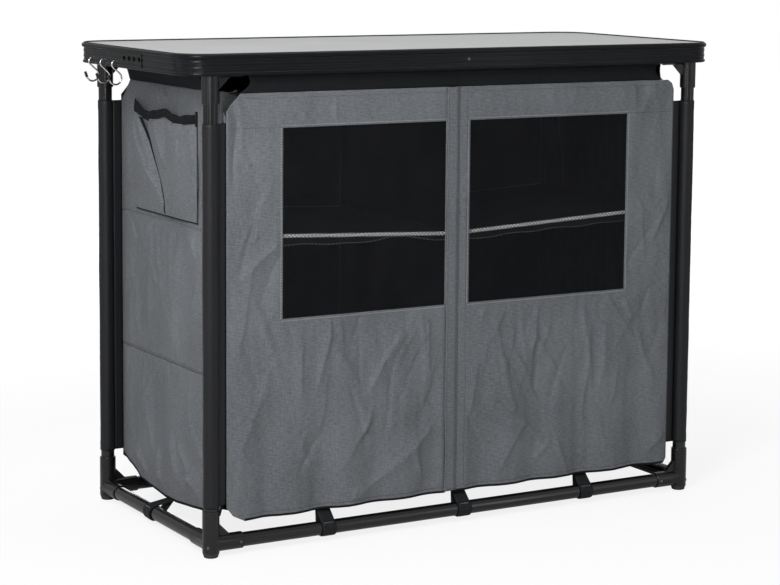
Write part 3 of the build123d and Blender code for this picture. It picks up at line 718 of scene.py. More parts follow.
@dataclass
class HangingCloth:
    """One cloth of the cabinet, cut flat and hung in folds between its sewn edges."""

    name: str
    face: float
    run: Vector
    outward: Vector
    span: Pair
    shares: tuple[float, ...]
    levels: tuple[Pair, ...]
    outline: tuple[Pair, ...]
    creases: list[Crease]
    body: str = "frame"
    flat: float = 0.0
    first_fold: int = 1
    seams: tuple[float, ...] = ()
    window: tuple[Pair, Pair] | None = None
    cell: float = 2.9
    thickness: float = 1.1
    relief: float = 1.8  # how many times its given height a crease is pressed
    slack: float = 1.01  # what the folds take up of the cloth's width
    seed: int = 1
    sewn: Pair = (16.0, 16.0)  # how far from each end of the span the cloth comes free
    sewn_top: Pair = (739.0, 20.0)  # the top line, and how far below it the cloth comes free
    seam_room: float = 11.0
    window_room: float = 15.0
    slow: Ripple = Ripple(70, 150, 3.4)
    quick: Ripple = Ripple(17, 60, 1.1)
    bend_u: Ripple = Ripple(80, 60, 5)
    bend_z: Ripple = Ripple(60, 80, 5)
    pucker: float = 0.9
    groove: Pair = (1.2, 1.8)  # how deep and wide a seam sinks in
    seam_cuts: tuple[float, ...] = (-2.4, -0.9, 0.9, 2.4)

    def __post_init__(self) -> None:
        """Work out where the folds start and end."""
        start, end = self.span
        lead = self.flat if end > start else -self.flat
        self.marks = [start + lead]
        for share in self.shares:
            self.marks.append(self.marks[-1] + share * (end - start - lead) / sum(self.shares))

    def ratio(self, z: float) -> float:
        """How deep the folds are at a height, as a share of their width."""
        levels = self.levels
        if z <= levels[0][0]:
            return levels[0][1]
        for (low, low_ratio), (high, high_ratio) in zip(levels, levels[1:]):
            if z <= high:
                return low_ratio + (high_ratio - low_ratio) * (z - low) / (high - low)
        return levels[-1][1]

    def fold(self, u: float, z: float) -> float:
        """How far the folds stand outwards."""
        for number, (near, far) in enumerate(zip(self.marks, self.marks[1:])):
            share = (u - near) / (far - near)
            if 0 <= share <= 1:
                bulge = abs(far - near) * self.ratio(z) * 4 * share * (1 - share)
                return self.first_fold * bulge * (-1) ** number
        return 0.0

    def freedom(self, u: float, z: float) -> float:
        """How free the cloth is: 0 on a sewn line, 1 well away from one."""
        room = [abs(u - end) / reach for end, reach in zip(self.span, self.sewn)]
        room.append((self.sewn_top[0] - z) / self.sewn_top[1])
        room += [abs(z - seam) / self.seam_room for seam in self.seams]
        if self.window:
            (low_u, high_u), (low_z, high_z) = self.window
            off_u = max(low_u - u, u - high_u, 0)
            off_z = max(low_z - z, z - high_z, 0)
            room.append(math.hypot(off_u, off_z) / self.window_room)
        return smooth(min(room))

    def stand(self, u: float, z: float) -> float:
        """How far the cloth stands outwards from its plane, all told."""
        waves = self.slow.at(u, z, self.seed) + self.quick.at(u, z, self.seed + 7)
        bent_u = u + self.bend_u.at(u, z, self.seed + 3)
        bent_z = z + self.bend_z.at(u, z, self.seed + 5)
        crease = self.relief * sum(crease.stand(bent_u, bent_z) for crease in self.creases)
        lift = self.fold(u, z) + self.freedom(u, z) * (waves + crease)
        for seam in self.seams:
            off = abs(z - seam)
            if off < 30:
                lift += noise.noise((u / 11, seam, self.seed)) * self.pucker * math.exp(-off / 9)
                lift -= self.groove[0] * math.exp(-((off / self.groove[1]) ** 2))
        return lift

    def place(self, u: float, z: float, lift: float = 0.0) -> Vector:
        """The point in space for a point of the flat cloth, raised by a lift."""
        out = self.face + self.stand(u, z) + lift
        return self.run * u + self.outward * out + Vector((0, 0, z))

    def on_face(self, u: float, z: float) -> Vector:
        """The point in space on the cloth's outer face."""
        return self.place(u, z, self.thickness / 2 + 0.1)

    def area(self) -> float:
        """The flat area of the cloth in square metres."""
        turns = zip(self.outline, self.outline[1:] + self.outline[:1])
        total = abs(sum(near[0] * far[1] - far[0] * near[1] for near, far in turns)) / 2
        if self.window:
            (low_u, high_u), (low_z, high_z) = self.window
            total -= (high_u - low_u) * (high_z - low_z)
        return total * MM * MM

    def open_window(self, bm: BMesh) -> None:
        """Cut the window out of the flat cloth.

        Args:
            bm: the flat cloth.
        """
        (low_u, high_u), (low_z, high_z) = self.window
        for u in (low_u, high_u):
            score(bm, RIGHT * u, RIGHT)
        for z in (low_z, high_z):
            score(bm, BACK * z, BACK)
        middles = [(face, face.calc_center_median()) for face in bm.faces]
        inside = [face for face, at in middles if low_u < at.x < high_u and low_z < at.y < high_z]
        bmesh.ops.delete(bm, geom=inside, context="FACES")

    def build(self, node: str) -> None:
        """Cut, hang and finish the cloth.

        Args:
            node: the CAD node it replaces.
        """
        us, zs = sorted(self.span), [point[1] for point in self.outline]
        width, low, high = us[1] - us[0], min(zs), max(zs)
        bm = flat_grid(us, (low, high), (round(width / self.cell), round((high - low) / self.cell)))
        cut_outline(bm, self.outline)
        for seam in self.seams:
            for off in self.seam_cuts:
                score(bm, BACK * (seam + off), BACK)
        if self.window:
            self.open_window(bm)
        sides = [GREY_OXFORD, COATED_BACK]
        shape(bm, self.place)
        piece = finish_piece(
            bm, self.name, Slot.GREY_CLOTH, sides, self.outward, self.thickness, [node], self.body
        )
        size = (width * MM * self.slack, (high - low) * MM)
        share = min(self.area() * self.slack / (size[0] * size[1]), 1.0)

    def bind(self, line: Sequence[Pair], name: str, width: float = 5.0) -> None:
        """Sew black tape round an edge of the cloth.

        Args:
            line: the edge on the flat cloth.
            name: the tape's name.
            width: how far the tape covers the cloth.
        """
        stations = []
        for near, far in zip(line, line[1:]):
            count = max(2, round(math.dist(near, far) / 6))
            rise = Vector((-(far[1] - near[1]), far[0] - near[0])).normalized()
            for number in range(count + (far == line[-1])):
                share, way = number / count, rise.copy()
                u = near[0] + (far[0] - near[0]) * share
                z = near[1] + (far[1] - near[1]) * share
                upright = abs(way.y) < 1e-6 and way.x * (self.span[0] + self.span[1] - 2 * u) < 0
                if way.y < 0 or upright:
                    way.negate()
                middle = self.place(u + way.x * width * 0.42, z + way.y * width * 0.42)
                stations.append((middle, self.outward, self.run * way.x + UP * way.y))
        bm = swept(stations, oval(self.thickness + 1.5, width))
        finish_piece(bm, name, Slot.TAPE, [BLACK_OXFORD], body=self.body)

    def stitch_seams(self, name: str, reach: float) -> None:
        """Sew a row of dark stitches above each seam.

        Args:
            name: the stitches' name.
            reach: how far they run each way from the middle.
        """
        rows = StitchRow()
        for seam in self.seams:
            rows.run(self.on_face, (-reach, seam + 4), (reach, seam + 4), self.outward)
        rows.finish(name, DARK_THREAD, Slot.GREY_CLOTH)


@dataclass
class Net:
    """A window of knitted net: two families of yarns that cross at a slant."""

    side: str
    us: Pair
    zs: Pair
    seed: int
    face: float = -207.0
    pitch: float = 4.3
    yarn: float = 1.1
    lean: float = 52.0
    apart: float = 0.12
    slack: Ripple = Ripple(90, 130, 2.2)

    def place(self, x: float, z: float, off: float) -> Vector:
        """Where a point of the net hangs: tight at its edge, a little slack in the middle."""
        edge = min(x - self.us[0], self.us[1] - x, z - self.zs[0], self.zs[1] - z)
        slack = smooth(edge / 60) * (self.slack.at(x, z, self.seed) + 0.8)
        return Vector((x, self.face + slack + off, z))

    def build(self) -> None:
        """Make the net from its two families of yarn."""
        u, z = self.us, self.zs
        width, height = u[1] - u[0], z[1] - z[0]
        middle = Vector(((u[0] + u[1]) / 2, (z[0] + z[1]) / 2, 0))
        reach = math.hypot(width, height)
        count = round(reach / self.pitch)
        net = bmesh.new()
        for way in (-1, 1):
            bm = flat_grid((0, 2 * count), (-reach / 2, reach / 2), (2 * count, round(reach / 20)))
            gaps = [face for face in bm.faces if int(face.calc_center_median().x) % 2]
            bmesh.ops.delete(bm, geom=gaps, context="FACES")
            for vert in bm.verts:
                column = round(vert.co.x)
                vert.co.x = column // 2 * self.pitch + column % 2 * self.yarn - reach / 2
            turn = Matrix.Rotation(math.radians(way * self.lean), 4, "Z")
            bmesh.ops.transform(bm, matrix=Matrix.Translation(middle) @ turn, verts=bm.verts[:])
            cut_outline(bm, ((u[0], z[0]), (u[1], z[0]), (u[1], z[1]), (u[0], z[1])))
            join(net, shape(bm, lambda x, y, off=way * self.apart: self.place(x, y, off)))
        node, body = f"{self.side}_window_mesh", f"{self.side}_door"
        name = f"{self.side}_window_net"
        piece = finish_piece(net, name, Slot.NET, [NET_YARN], -BACK, stands_for=[node], body=body)


# Creases that the photograph shows, on the flat cloth: start, end, width and height of each.
LEFT_DOOR_CREASES = creases(
    (-110, 340, -187, 227, 8, 3.0),
    (-245, 361, -278, 240, 8, 2.6),
    (-26, 188, -200, 61, 16, 3.4),
    (-190, 159, -167, 217, 9, 2.4),
    (-66, 361, -61, 230, 9, 2.2),
    (-197, 82, -204, 58, 9, 2.6),
    (-334, 505, -414, 435, 8, 2.8),
    (-389, 490, -378, 516, 6, 1.8),
    (-241, 735, -241, 684, 5, 1.6),
    (-352, 610, -420, 470, 9, 1.8),
    (-390, 420, -330, 250, 12, 2.0),
    (-350, 300, -420, 150, 14, 2.4),
)
RIGHT_DOOR_CREASES = creases(
    (23, 239, 186, 111, 11, 3.8),
    (27, 198, 118, 134, 9, 2.6),
    (334, 357, 354, 312, 8, 2.6),
    (354, 312, 406, 190, 8, 2.8),
    (186, 127, 223, 55, 9, 2.8),
    (186, 127, 147, 85, 9, 2.4),
    (90, 176, 114, 191, 7, 1.6),
    (387, 347, 402, 320, 6, 1.6),
    (49, 361, 39, 329, 6, 1.6),
    (383, 62, 427, 114, 9, 2.6),
    (246, 352, 258, 288, 8, 2.0),
    (120, 350, 135, 250, 12, 2.0),
    (300, 330, 280, 180, 14, 2.4),
)
LEFT_WALL_CREASES = creases(
    (-111, 431, -84, 343, 9, 2.4),
    (30, 500, 26, 395, 7, 1.8),
    (62, 500, 50, 415, 6, 1.6),
    (6, 500, -6, 405, 8, 1.8),
    (-34, 498, -30, 425, 6, 1.4),
    (60, 480, 20, 330, 12, 2.0),
    (120, 250, 70, 90, 13, 2.4),
    (-60, 240, -130, 110, 12, 2.2),
    (62, 745, 58, 706, 8, 2.6),
    (34, 745, 20, 706, 9, 3.0),
    (95, 742, 80, 700, 12, -2.0),
    (-20, 150, -102, 70, 11, 4.6),
    (54, 120, 50, 56, 10, 3.8),
    (4, 160, -26, 68, 12, 4.6),
    (-44, 56, -94, 118, 9, 4.2),
    (158, 110, 95, 66, 12, 3.4),
    (-30, 495, -14, 383, 11, 3.0),
    (-70, 531, -102, 455, 10, 3.0),
    (-150, 240, -180, 90, 12, 2.8),
)
POCKET_CREASES = creases(
    (84, 700, 14, 518, 9, -7.0),
    (99, 700, 20, 522, 11, 7.0),
    (130, 690, 40, 560, 14, 7.0),
    (118, 690, 70, 600, 8, -2.4),
    (-90, 639, -16, 574, 12, 3.2),
    (40, 692, 4, 600, 12, 3.4),
    (-40, 690, -62, 640, 10, -2.6),
    (24, 540, 12, 519, 5, 2.4),
)


@dataclass
class Door:
    """What differs between the two doors: the left one is way -1, the right one way 1."""

    way: int
    window: Pair
    flat: float
    low_corner: tuple[Pair, ...]
    high_corner: tuple[Pair, ...]
    placed: list[Crease]
    seeds: tuple[int, int, int, int]
    seed: int
    inner: float
    rows: tuple[float, ...]  # stitches down the inner edge, by their distance from it

    @property
    def side(self) -> str:
        """Left or right."""
        return "left" if self.way < 0 else "right"

    def across(self, near: float, far: float) -> Pair:
        """The span between two distances from the middle, in order."""
        return min(self.way * near, self.way * far), max(self.way * near, self.way * far)

    def creases(self) -> list[Crease]:
        """The placed creases and the loose ones, low, by the zip, beside the window and on top."""
        low, by_zip, beside, top = self.seeds
        return (
            self.placed
            + loose_creases(low, self.across(0, 430), (60, 360), 34)
            + loose_creases(by_zip, self.across(30, 150), (150, 350), 16, (55, 100))
            + loose_creases(beside, self.across(340, 430), (380, 680), 9)
            + loose_creases(top, self.across(0, 430), (690, 735), 12, (70, 110))
        )


@dataclass
class Cabinet:
    """The cloth cabinet: three walls, two doors with nets, and what is sewn to them."""

    half_x: float = 434.2
    half_y: float = 207.0
    door_outer: float = 434.5
    wall_end: float = 204.9
    low: float = 52.0
    top: float = 736.5
    seams: Pair = (508.5, 276.0)
    window_z: Pair = (373.0, 680.0)
    left: Door = field(
        default_factory=lambda: Door(
            -1, (-335.0, -32.0), 7.0, ((30.0, 52.0), (10.0, 62.0), (0.0, 76.0)),
            ((0.0, 28.0), (24.0, 0.0)), LEFT_DOOR_CREASES, (31, 85, 5, 15), 11, -27.0, (2.5,),
        )
    )
    right: Door = field(
        default_factory=lambda: Door(
            1, (15.0, 335.0), 28.0, ((7.0, 52.0), (0.0, 60.0)),
            ((0.0, 17.0), (4.0, 6.0), (13.0, 0.0)), RIGHT_DOOR_CREASES, (47, 88, 8, 18), 23, -13.0,
            (6.0, 22.0),
        )
    )
    door_folds: tuple[float, ...] = (47, 58, 36, 52, 41, 60, 38, 44)
    side_folds: tuple[float, ...] = (38, 52, 44, 61, 40, 55, 47, 36, 38)
    rear_folds: tuple[float, ...] = (52, 66, 45, 71, 58, 49, 63, 54, 68, 47, 60, 56, 50)
    door_levels: tuple[Pair, ...] = (
        (52, 0.08), (349, 0.016), (370, 0.004), (683, 0.004), (737, 0.012),
    )
    wall_levels: tuple[Pair, ...] = (
        (40, 0.012), (54, 0.006), (165.5, 0.045), (277, 0.006), (394, 0.045), (511, 0.006),
    )
    side_outline: tuple[Pair, ...] = (
        (204.9, 80.0), (204.9, 699.5), (166.9, 736.5), (-166.9, 736.5), (-204.9, 699.5),
        (-204.9, 92.0), (-187.0, 58.5), (-11.0, 40.0), (39.0, 40.0), (124.9, 52.0),
    )
    corner: tuple[Vector, Vector] = (Vector((-446.0, -207.0, 0)), Vector((-398.0, -172.0, 0)))
    corner_z: Pair = (690.0, 741.0)

    def door(self, door: Door) -> None:
        """One door: its cloth, binding, stitches and net.

        Args:
            door: which one.
        """
        way, side, us, (low_z, high_z) = door.way, door.side, door.window, self.window_z
        start, end = door.inner, way * self.door_outer
        cloth = HangingCloth(
            f"{side}_door_panel", self.half_y, RIGHT, -BACK, (start, end), self.door_folds,
            self.door_levels,
            (
                (start, self.low),
                *((end - way * back, z) for back, z in door.low_corner),
                *((end - way * back, self.top - drop) for back, drop in door.high_corner),
                (start, self.top),
            ),
            door.creases(), f"{side}_door", door.flat, -1,
            window=(us, self.window_z), seed=door.seed, sewn=(40.0, 16.0),
        )
        cloth.build(f"{side}_door_cloth")
        cloth.bind(cloth.outline[:2], f"{side}_door_binding", 4.5)
        grey, dark = StitchRow(thick=0.6), StitchRow(thick=0.6)
        for near, far in (
            ((us[0] - 3, high_z + 3.5), (us[1] + 3, high_z + 3.5)),
            ((us[0] - 3.5, high_z), (us[0] - 3.5, low_z)),
            ((us[1] + 3.5, high_z), (us[1] + 3.5, low_z)),
            ((us[0] - 3, low_z - 3.5), (us[1] + 3, low_z - 3.5)),
        ):
            grey.run(cloth.on_face, near, far, cloth.outward)
        outer = way * (self.door_outer - 4)
        edge = us[0] - 5 if way < 0 else us[1] + 5
        for near, far in (
            ((edge, high_z + 1), (outer, high_z + 1)),
            *(((start + way * off, 60), (start + way * off, 732)) for off in door.rows),
            ((start + way * 4, 61), (outer - way * 30, 61)),
            ((start + way * 4, 728), (outer - way * 24, 728)),
        ):
            dark.run(cloth.on_face, near, far, cloth.outward)
        grey.finish(f"{side}_window_stitches", GREY_THREAD, Slot.GREY_CLOTH, cloth.body)
        dark.finish(f"{side}_door_stitches", DARK_THREAD, Slot.TAPE, cloth.body)
        Net(side, us, self.window_z, way + 4).build()

    def walls(self) -> None:
        """Left, right and rear wall, with their bindings and seam stitches."""
        for side, way in (("left", -1), ("right", 1)):
            placed = loose_creases(60 + way, (-200, 200), (60, 500), 40)
            placed += LEFT_WALL_CREASES if way < 0 else []
            cloth = HangingCloth(
                f"{side}_wall_panel", self.half_x, BACK, RIGHT * way,
                (-self.wall_end, self.wall_end), self.side_folds, self.wall_levels,
                self.side_outline, placed, first_fold=-way, seams=self.seams, seed=40 + way,
            )
            cloth.build(f"{side}_wall")
            cloth.bind(self.side_outline[5:] + self.side_outline[:1], f"{side}_wall_binding")
            cloth.stitch_seams(f"{side}_wall_stitches", 200)
        outer, low, top = self.door_outer, self.low, self.top
        right = ((outer - 30, low), (outer, 76.0), (outer, top - 28), (outer - 24, top))
        outline = right + tuple((-u, z) for u, z in reversed(right))
        placed = loose_creases(71, (-430, 430), (60, 500), 90)
        placed += loose_creases(73, (-430, 430), (500, 730), 24)
        cloth = HangingCloth(
            "rear_wall_panel", self.half_y, RIGHT, BACK, (-outer, outer), self.rear_folds,
            self.wall_levels, outline, placed, seams=self.seams, cell=5.0, relief=3.2, seed=50,
        )
        cloth.build("rear_wall")
        cloth.bind(outline[7:] + outline[:1], "rear_wall_binding")
        cloth.stitch_seams("rear_wall_stitches", 430)

    def facing(self) -> None:
        """The cloth that closes the cabinet's cut corner beside the front left leg."""
        near, far = self.corner
        low, high = self.corner_z

        def place(u: float, z: float) -> Vector:
            """A point of the facing: it sags a little between its sewn edges."""
            sag = 3.0 * math.sin(math.pi * u) * smooth((z - low) / 20.0)
            middle = near.lerp(far, u)
            return Vector((middle.x - 0.6 * sag, middle.y + 0.8 * sag, z - 2.0 * sag * u))

        bm = shape(flat_grid((0, 1), self.corner_z, (16, 18)), place)
        width = (far - near).length
        scale_uv(bm, u=width)
        piece = finish_piece(bm, "left_corner_facing", Slot.GREY_CLOTH, [GREY_OXFORD], UP, 0.6)

    def build(self) -> None:
        """Everything of the cabinet's skin."""
        self.door(self.left)
        self.door(self.right)
        self.walls()
        self.facing()


@dataclass
class Zip:
    """The zip between the doors: two tapes with coils, and the flap that covers them."""

    x: float = -20.0
    face: float = -207.0
    tape: Pair = (3.2, 7.0)
    tape_thick: float = 0.8
    coil_x: float = 2.0
    coil: tuple[float, float, float] = (3.2, 1.7, 1.3)
    coil_end: float = 1.2
    pitch: float = 2.6
    top: float = 731.0
    left_low: float = 81.6
    right_low: float = 58.0
    flap_z: Pair = (55.0, 736.2)
    flap_path: tuple[Pair, ...] = (
        (-6.0, -208.1), (-9.0, -208.2), (-10.2, -209.2),
        (-11.0, -210.8), (-14.0, -211.2), (-31.3, -211.2),
    )

    def half(self, side: str, way: int, low: float) -> None:
        """One tape with its half of the coil.

        Args:
            side: left or right.
            way: -1 for left, 1 for right.
            low: where it ends.
        """
        count = round((self.top - low) / self.pitch)
        bm = flat_grid(self.tape, (low, self.top), (3, 60))
        shape(bm, lambda u, z: Vector((self.x + way * u, self.face + 0.1 * math.sin(z / 9), z)))
        bmesh.ops.solidify(bm, geom=bm.faces[:], thickness=self.tape_thick)
        bmesh.ops.translate(bm, vec=(0, self.tape_thick / 2, 0), verts=bm.verts[:])
        for number in range(count):
            turn = number + (0.5 if way > 0 else 0.0)
            z = low + self.coil_end + turn * (self.top - low - 2 * self.coil_end) / count
            spot = Matrix.Translation((self.x + way * self.coil_x, self.face, z))
            made = bmesh.ops.create_cube(bm, size=1, matrix=spot @ Matrix.Diagonal((*self.coil, 1)))
            tip = [vert for vert in made["verts"] if (vert.co.x - self.x) * way < self.coil_x]
            bmesh.ops.scale(bm, vec=(1, 1, 0.6), space=Matrix.Translation((0, 0, -z)), verts=tip)
        node = f"zip_{side}_half"
        name, body = f"zip_{side}_chain", f"{side}_door"
        finish_piece(bm, name, Slot.ZIP_TAPE, [ZIP_COIL], stands_for=[node], body=body)

    def flap(self) -> None:
        """The cover flap: sewn to the right door, its free edge a little wavy."""
        low, high = self.flap_z
        legs = list(zip(self.flap_path, self.flap_path[1:]))
        sizes = [math.dist(near, far) for near, far in legs]
        total = sum(sizes)

        def place(u: float, z: float) -> Vector:
            """A point of the flap."""
            rest = u
            for (near, far), size in zip(legs, sizes):
                if rest <= size + 1e-6:
                    share = rest / size
                    x = near[0] + (far[0] - near[0]) * share
                    y = near[1] + (far[1] - near[1]) * share
                    break
                rest -= size
            free = smooth((u - 8) / (total - 8))
            wave = noise.noise((z / 70, 3.3, 0.5)) * 2.2 + noise.noise((z / 24, 9.1, 0.5)) * 0.7
            drift = free * noise.noise((z / 55, 1.7, 2.5)) * 1.6
            return Vector((x + drift, y - free * abs(wave) * 0.8, z))

        bm = shape(flat_grid((0, total), self.flap_z, (14, 140)), place)
        name, body, sides = "zip_cover_flap", "right_door", [GREY_OXFORD, COATED_BACK]
        piece = finish_piece(bm, name, Slot.GREY_CLOTH, sides, -BACK, 0.9, ["zip_flap"], body)
        rows = StitchRow()
        for u in (total - 3, 9.0):
            rows.run(lambda u, z: place(u, z) - BACK * 0.5, (u, low + 4), (u, high - 4), -BACK)
        rows.finish("flap_stitches", DARK_THREAD, Slot.TAPE, body)

    def build(self) -> None:
        """Both halves and the flap."""
        self.half("left", -1, self.left_low)
        self.half("right", 1, self.right_low)
        self.flap()


@dataclass
class Inside:
    """Roof, floor, shelves and dividers, all in black lining cloth."""

    half: float = 432.9
    rear: float = 204.3
    front: float = -195.0
    divider_x: float = -8.0
    sag: float = 20.0
    upper: float = 511.0
    lower: float = 277.0
    board: float = 6.0
    strip: float = 13.0
    zigzag: float = 2.3
    clear: float = 1.5
    quilt: Ripple = Ripple(70, 70, 0.5)
    rumple: Ripple = Ripple(80, 80, 0.9)
    slack: Ripple = Ripple(60, 90, 2.0)
    bays: tuple[Pair, ...] = ((59.3, 250.7), (257.3, 484.7), (491.3, 735.0))

    @property
    def span(self) -> Pair:
        """From the left wall to the right one."""
        return -self.half, self.half

    def shelf_z(self, end_z: float, x: float) -> float:
        """The top of a shelf: it hangs lowest where its two boards meet."""
        share = (x + self.half) / (self.divider_x + self.half)
        if x > self.divider_x:
            share = (self.half - x) / (self.half - self.divider_x)
        return end_z - self.sag * share

    def steps(self, count: int) -> list[float]:
        """Places from wall to wall, evenly spaced."""
        return [-self.half + 2 * self.half * number / count for number in range(count + 1)]

    def shelf(self, level: str, end_z: float) -> None:
        """A shelf of two covered boards.

        Args:
            level: upper or lower.
            end_z: the height of its top at the walls.
        """
        mid = end_z - self.board / 2

        def place(x: float, y: float) -> Vector:
            """A point of the shelf's middle face."""
            return Vector((x, y, self.shelf_z(mid, x) + self.quilt.at(x, y, end_z)))

        bm = shape(flat_grid(self.span, (self.front + 0.6, self.rear), (96, 44)), place)
        name, thick = f"{level}_shelf_cover", self.board - 1.2
        finish_piece(bm, name, Slot.LINING, [BLACK_OXFORD], UP, thick, [f"{level}_shelf"])

    def edging(self) -> None:
        """White braid zig-zagged along both front edges, a narrow black hem below with a grey cord
        on its lower edge as painted highlight, and a grey cord along the rear edges.
        """
        braid, hems, cords_and_highlight = bmesh.new(), bmesh.new(), bmesh.new()
        columns = 220
        for end_z in (self.upper, self.lower):
            for phase in (0, 1):
                line = []
                for number, x in enumerate(self.steps(250)):
                    rise = self.zigzag if (number + phase) % 2 else -self.zigzag
                    z = self.shelf_z(end_z, x) - 0.6 + rise
                    line.append(Vector((x, self.front - 0.9 + 0.3 * phase, z)))
                join(braid, swept(along(line, BACK, UP), oval(2.0, 3.2, 5)))

            def place(x: float, z: float, end_z: float = end_z) -> Vector:
                """A point of the hem under the shelf's edge."""
                tucked = smooth((x + 200) / 70) * smooth((40 - x) / 60)
                z = z * (0.64 - 0.5 * tucked + 0.5 * noise.noise((x / 75, end_z, 6.0)))
                wave = noise.noise((x / 16, end_z, 2.0)) * 1.6 * smooth(-z / 8)
                return Vector((x, -194.9 + wave, self.shelf_z(end_z, x) - self.board + z))

            join(hems, shape(flat_grid(self.span, (-self.strip, 0), (columns, 4)), place))
            low = [place(x, -self.strip) for x in self.steps(columns)]
            tall = [(place(x, 0.0) - end).length for x, end in zip(self.steps(columns), low)]
            # A grey cord along the hem's lower edge: a painted highlight where that edge catches
            # the light.
            join(cords_and_highlight, swept(along(low, BACK, UP), oval(1.6, 1.6, 5)))
            lift, y = 0.8, self.rear - 4
            back = [Vector((x, y, self.shelf_z(end_z, x) + lift)) for x in range(-430, 431, 10)]
            join(cords_and_highlight, swept(along(back, BACK, UP), oval(1.6, 1.8, 5)))
        node = "shelf_edgings"
        finish_piece(braid, "shelf_braids", Slot.EDGING, [WHITE_BRAID], stands_for=[node])
        finish_piece(cords_and_highlight, "shelf_cords_and_hem_highlight", Slot.LINING, [GREY_CORD_AND_HEM_HIGHLIGHT])
        piece = finish_piece(hems, "shelf_hems", Slot.LINING, [BLACK_OXFORD], -BACK, 0.7)

    def level(
        self, name: str, node: str, z: float, thick: float, front: float, held: Held, cut: Cut
    ) -> None:
        """A flat level of cloth between the walls.

        Args:
            name: the piece's name.
            node: the CAD node it replaces.
            z: its middle height.
            thick: its thickness.
            front: its front edge.
            held: how the cloth is held; not used.
            cut: how far its corners are cut back: across in front (half of it behind), and along
                each side at the front and the rear.
        """

        def place(x: float, y: float) -> Vector:
            """A point of the level's middle face."""
            edge = min(self.half - abs(x), self.rear - y, y - front) / 60
            return Vector((x, y, z + smooth(edge) * self.rumple.at(x, y, z)))

        bm = flat_grid(self.span, (front, self.rear), (87, 40))
        side, back = self.half - self.clear, self.rear - self.clear
        in_front, behind = (side - cut[0], front), (side - cut[0] / 2, back)
        right = (in_front, (side, front + cut[1]), (side, back - cut[2]), behind)
        cut_outline(bm, ((-right[0][0], front), *right, *((-x, y) for x, y in reversed(right[1:]))))
        piece = finish_piece(shape(bm, place), name, Slot.LINING, [BLACK_OXFORD], UP, thick, [node])

    def dividers(self) -> None:
        """The cloths that carry the shelves at their middle."""
        bm = bmesh.new()
        for low, high in self.bays:

            def place(y: float, z: float, low: float = low, high: float = high) -> Vector:
                """A point of the divider."""
                free = smooth(min(z - low, high - z) / 30)
                return Vector((self.divider_x + free * self.slack.at(y, z, low), y, z))

            steps = (40, round((high - low) / 9))
            join(bm, shape(flat_grid((self.front, self.rear), (low, high), steps), place))
        total = sum(high - low for low, high in self.bays)
        nodes = ["centre_dividers"]
        piece = finish_piece(bm, "divider_cloths", Slot.LINING, [COATED_BACK], RIGHT, 1.0, nodes)

    def build(self) -> None:
        """Every level, the edgings and the dividers."""
        self.shelf("upper", self.upper)
        self.shelf("lower", self.lower)
        self.edging()
        roof, floor = (26.0, 39.0, 39.0), (62.0, 96.0, 60.0)
        self.level("roof_lining", "roof_cloth", 735.8, 0.9, -204.3, Held.STRETCHED, roof)
        self.level("floor_cover", "floor_panel", 56.5, 4.4, -199.0, Held.LAID, floor)
        self.dividers()


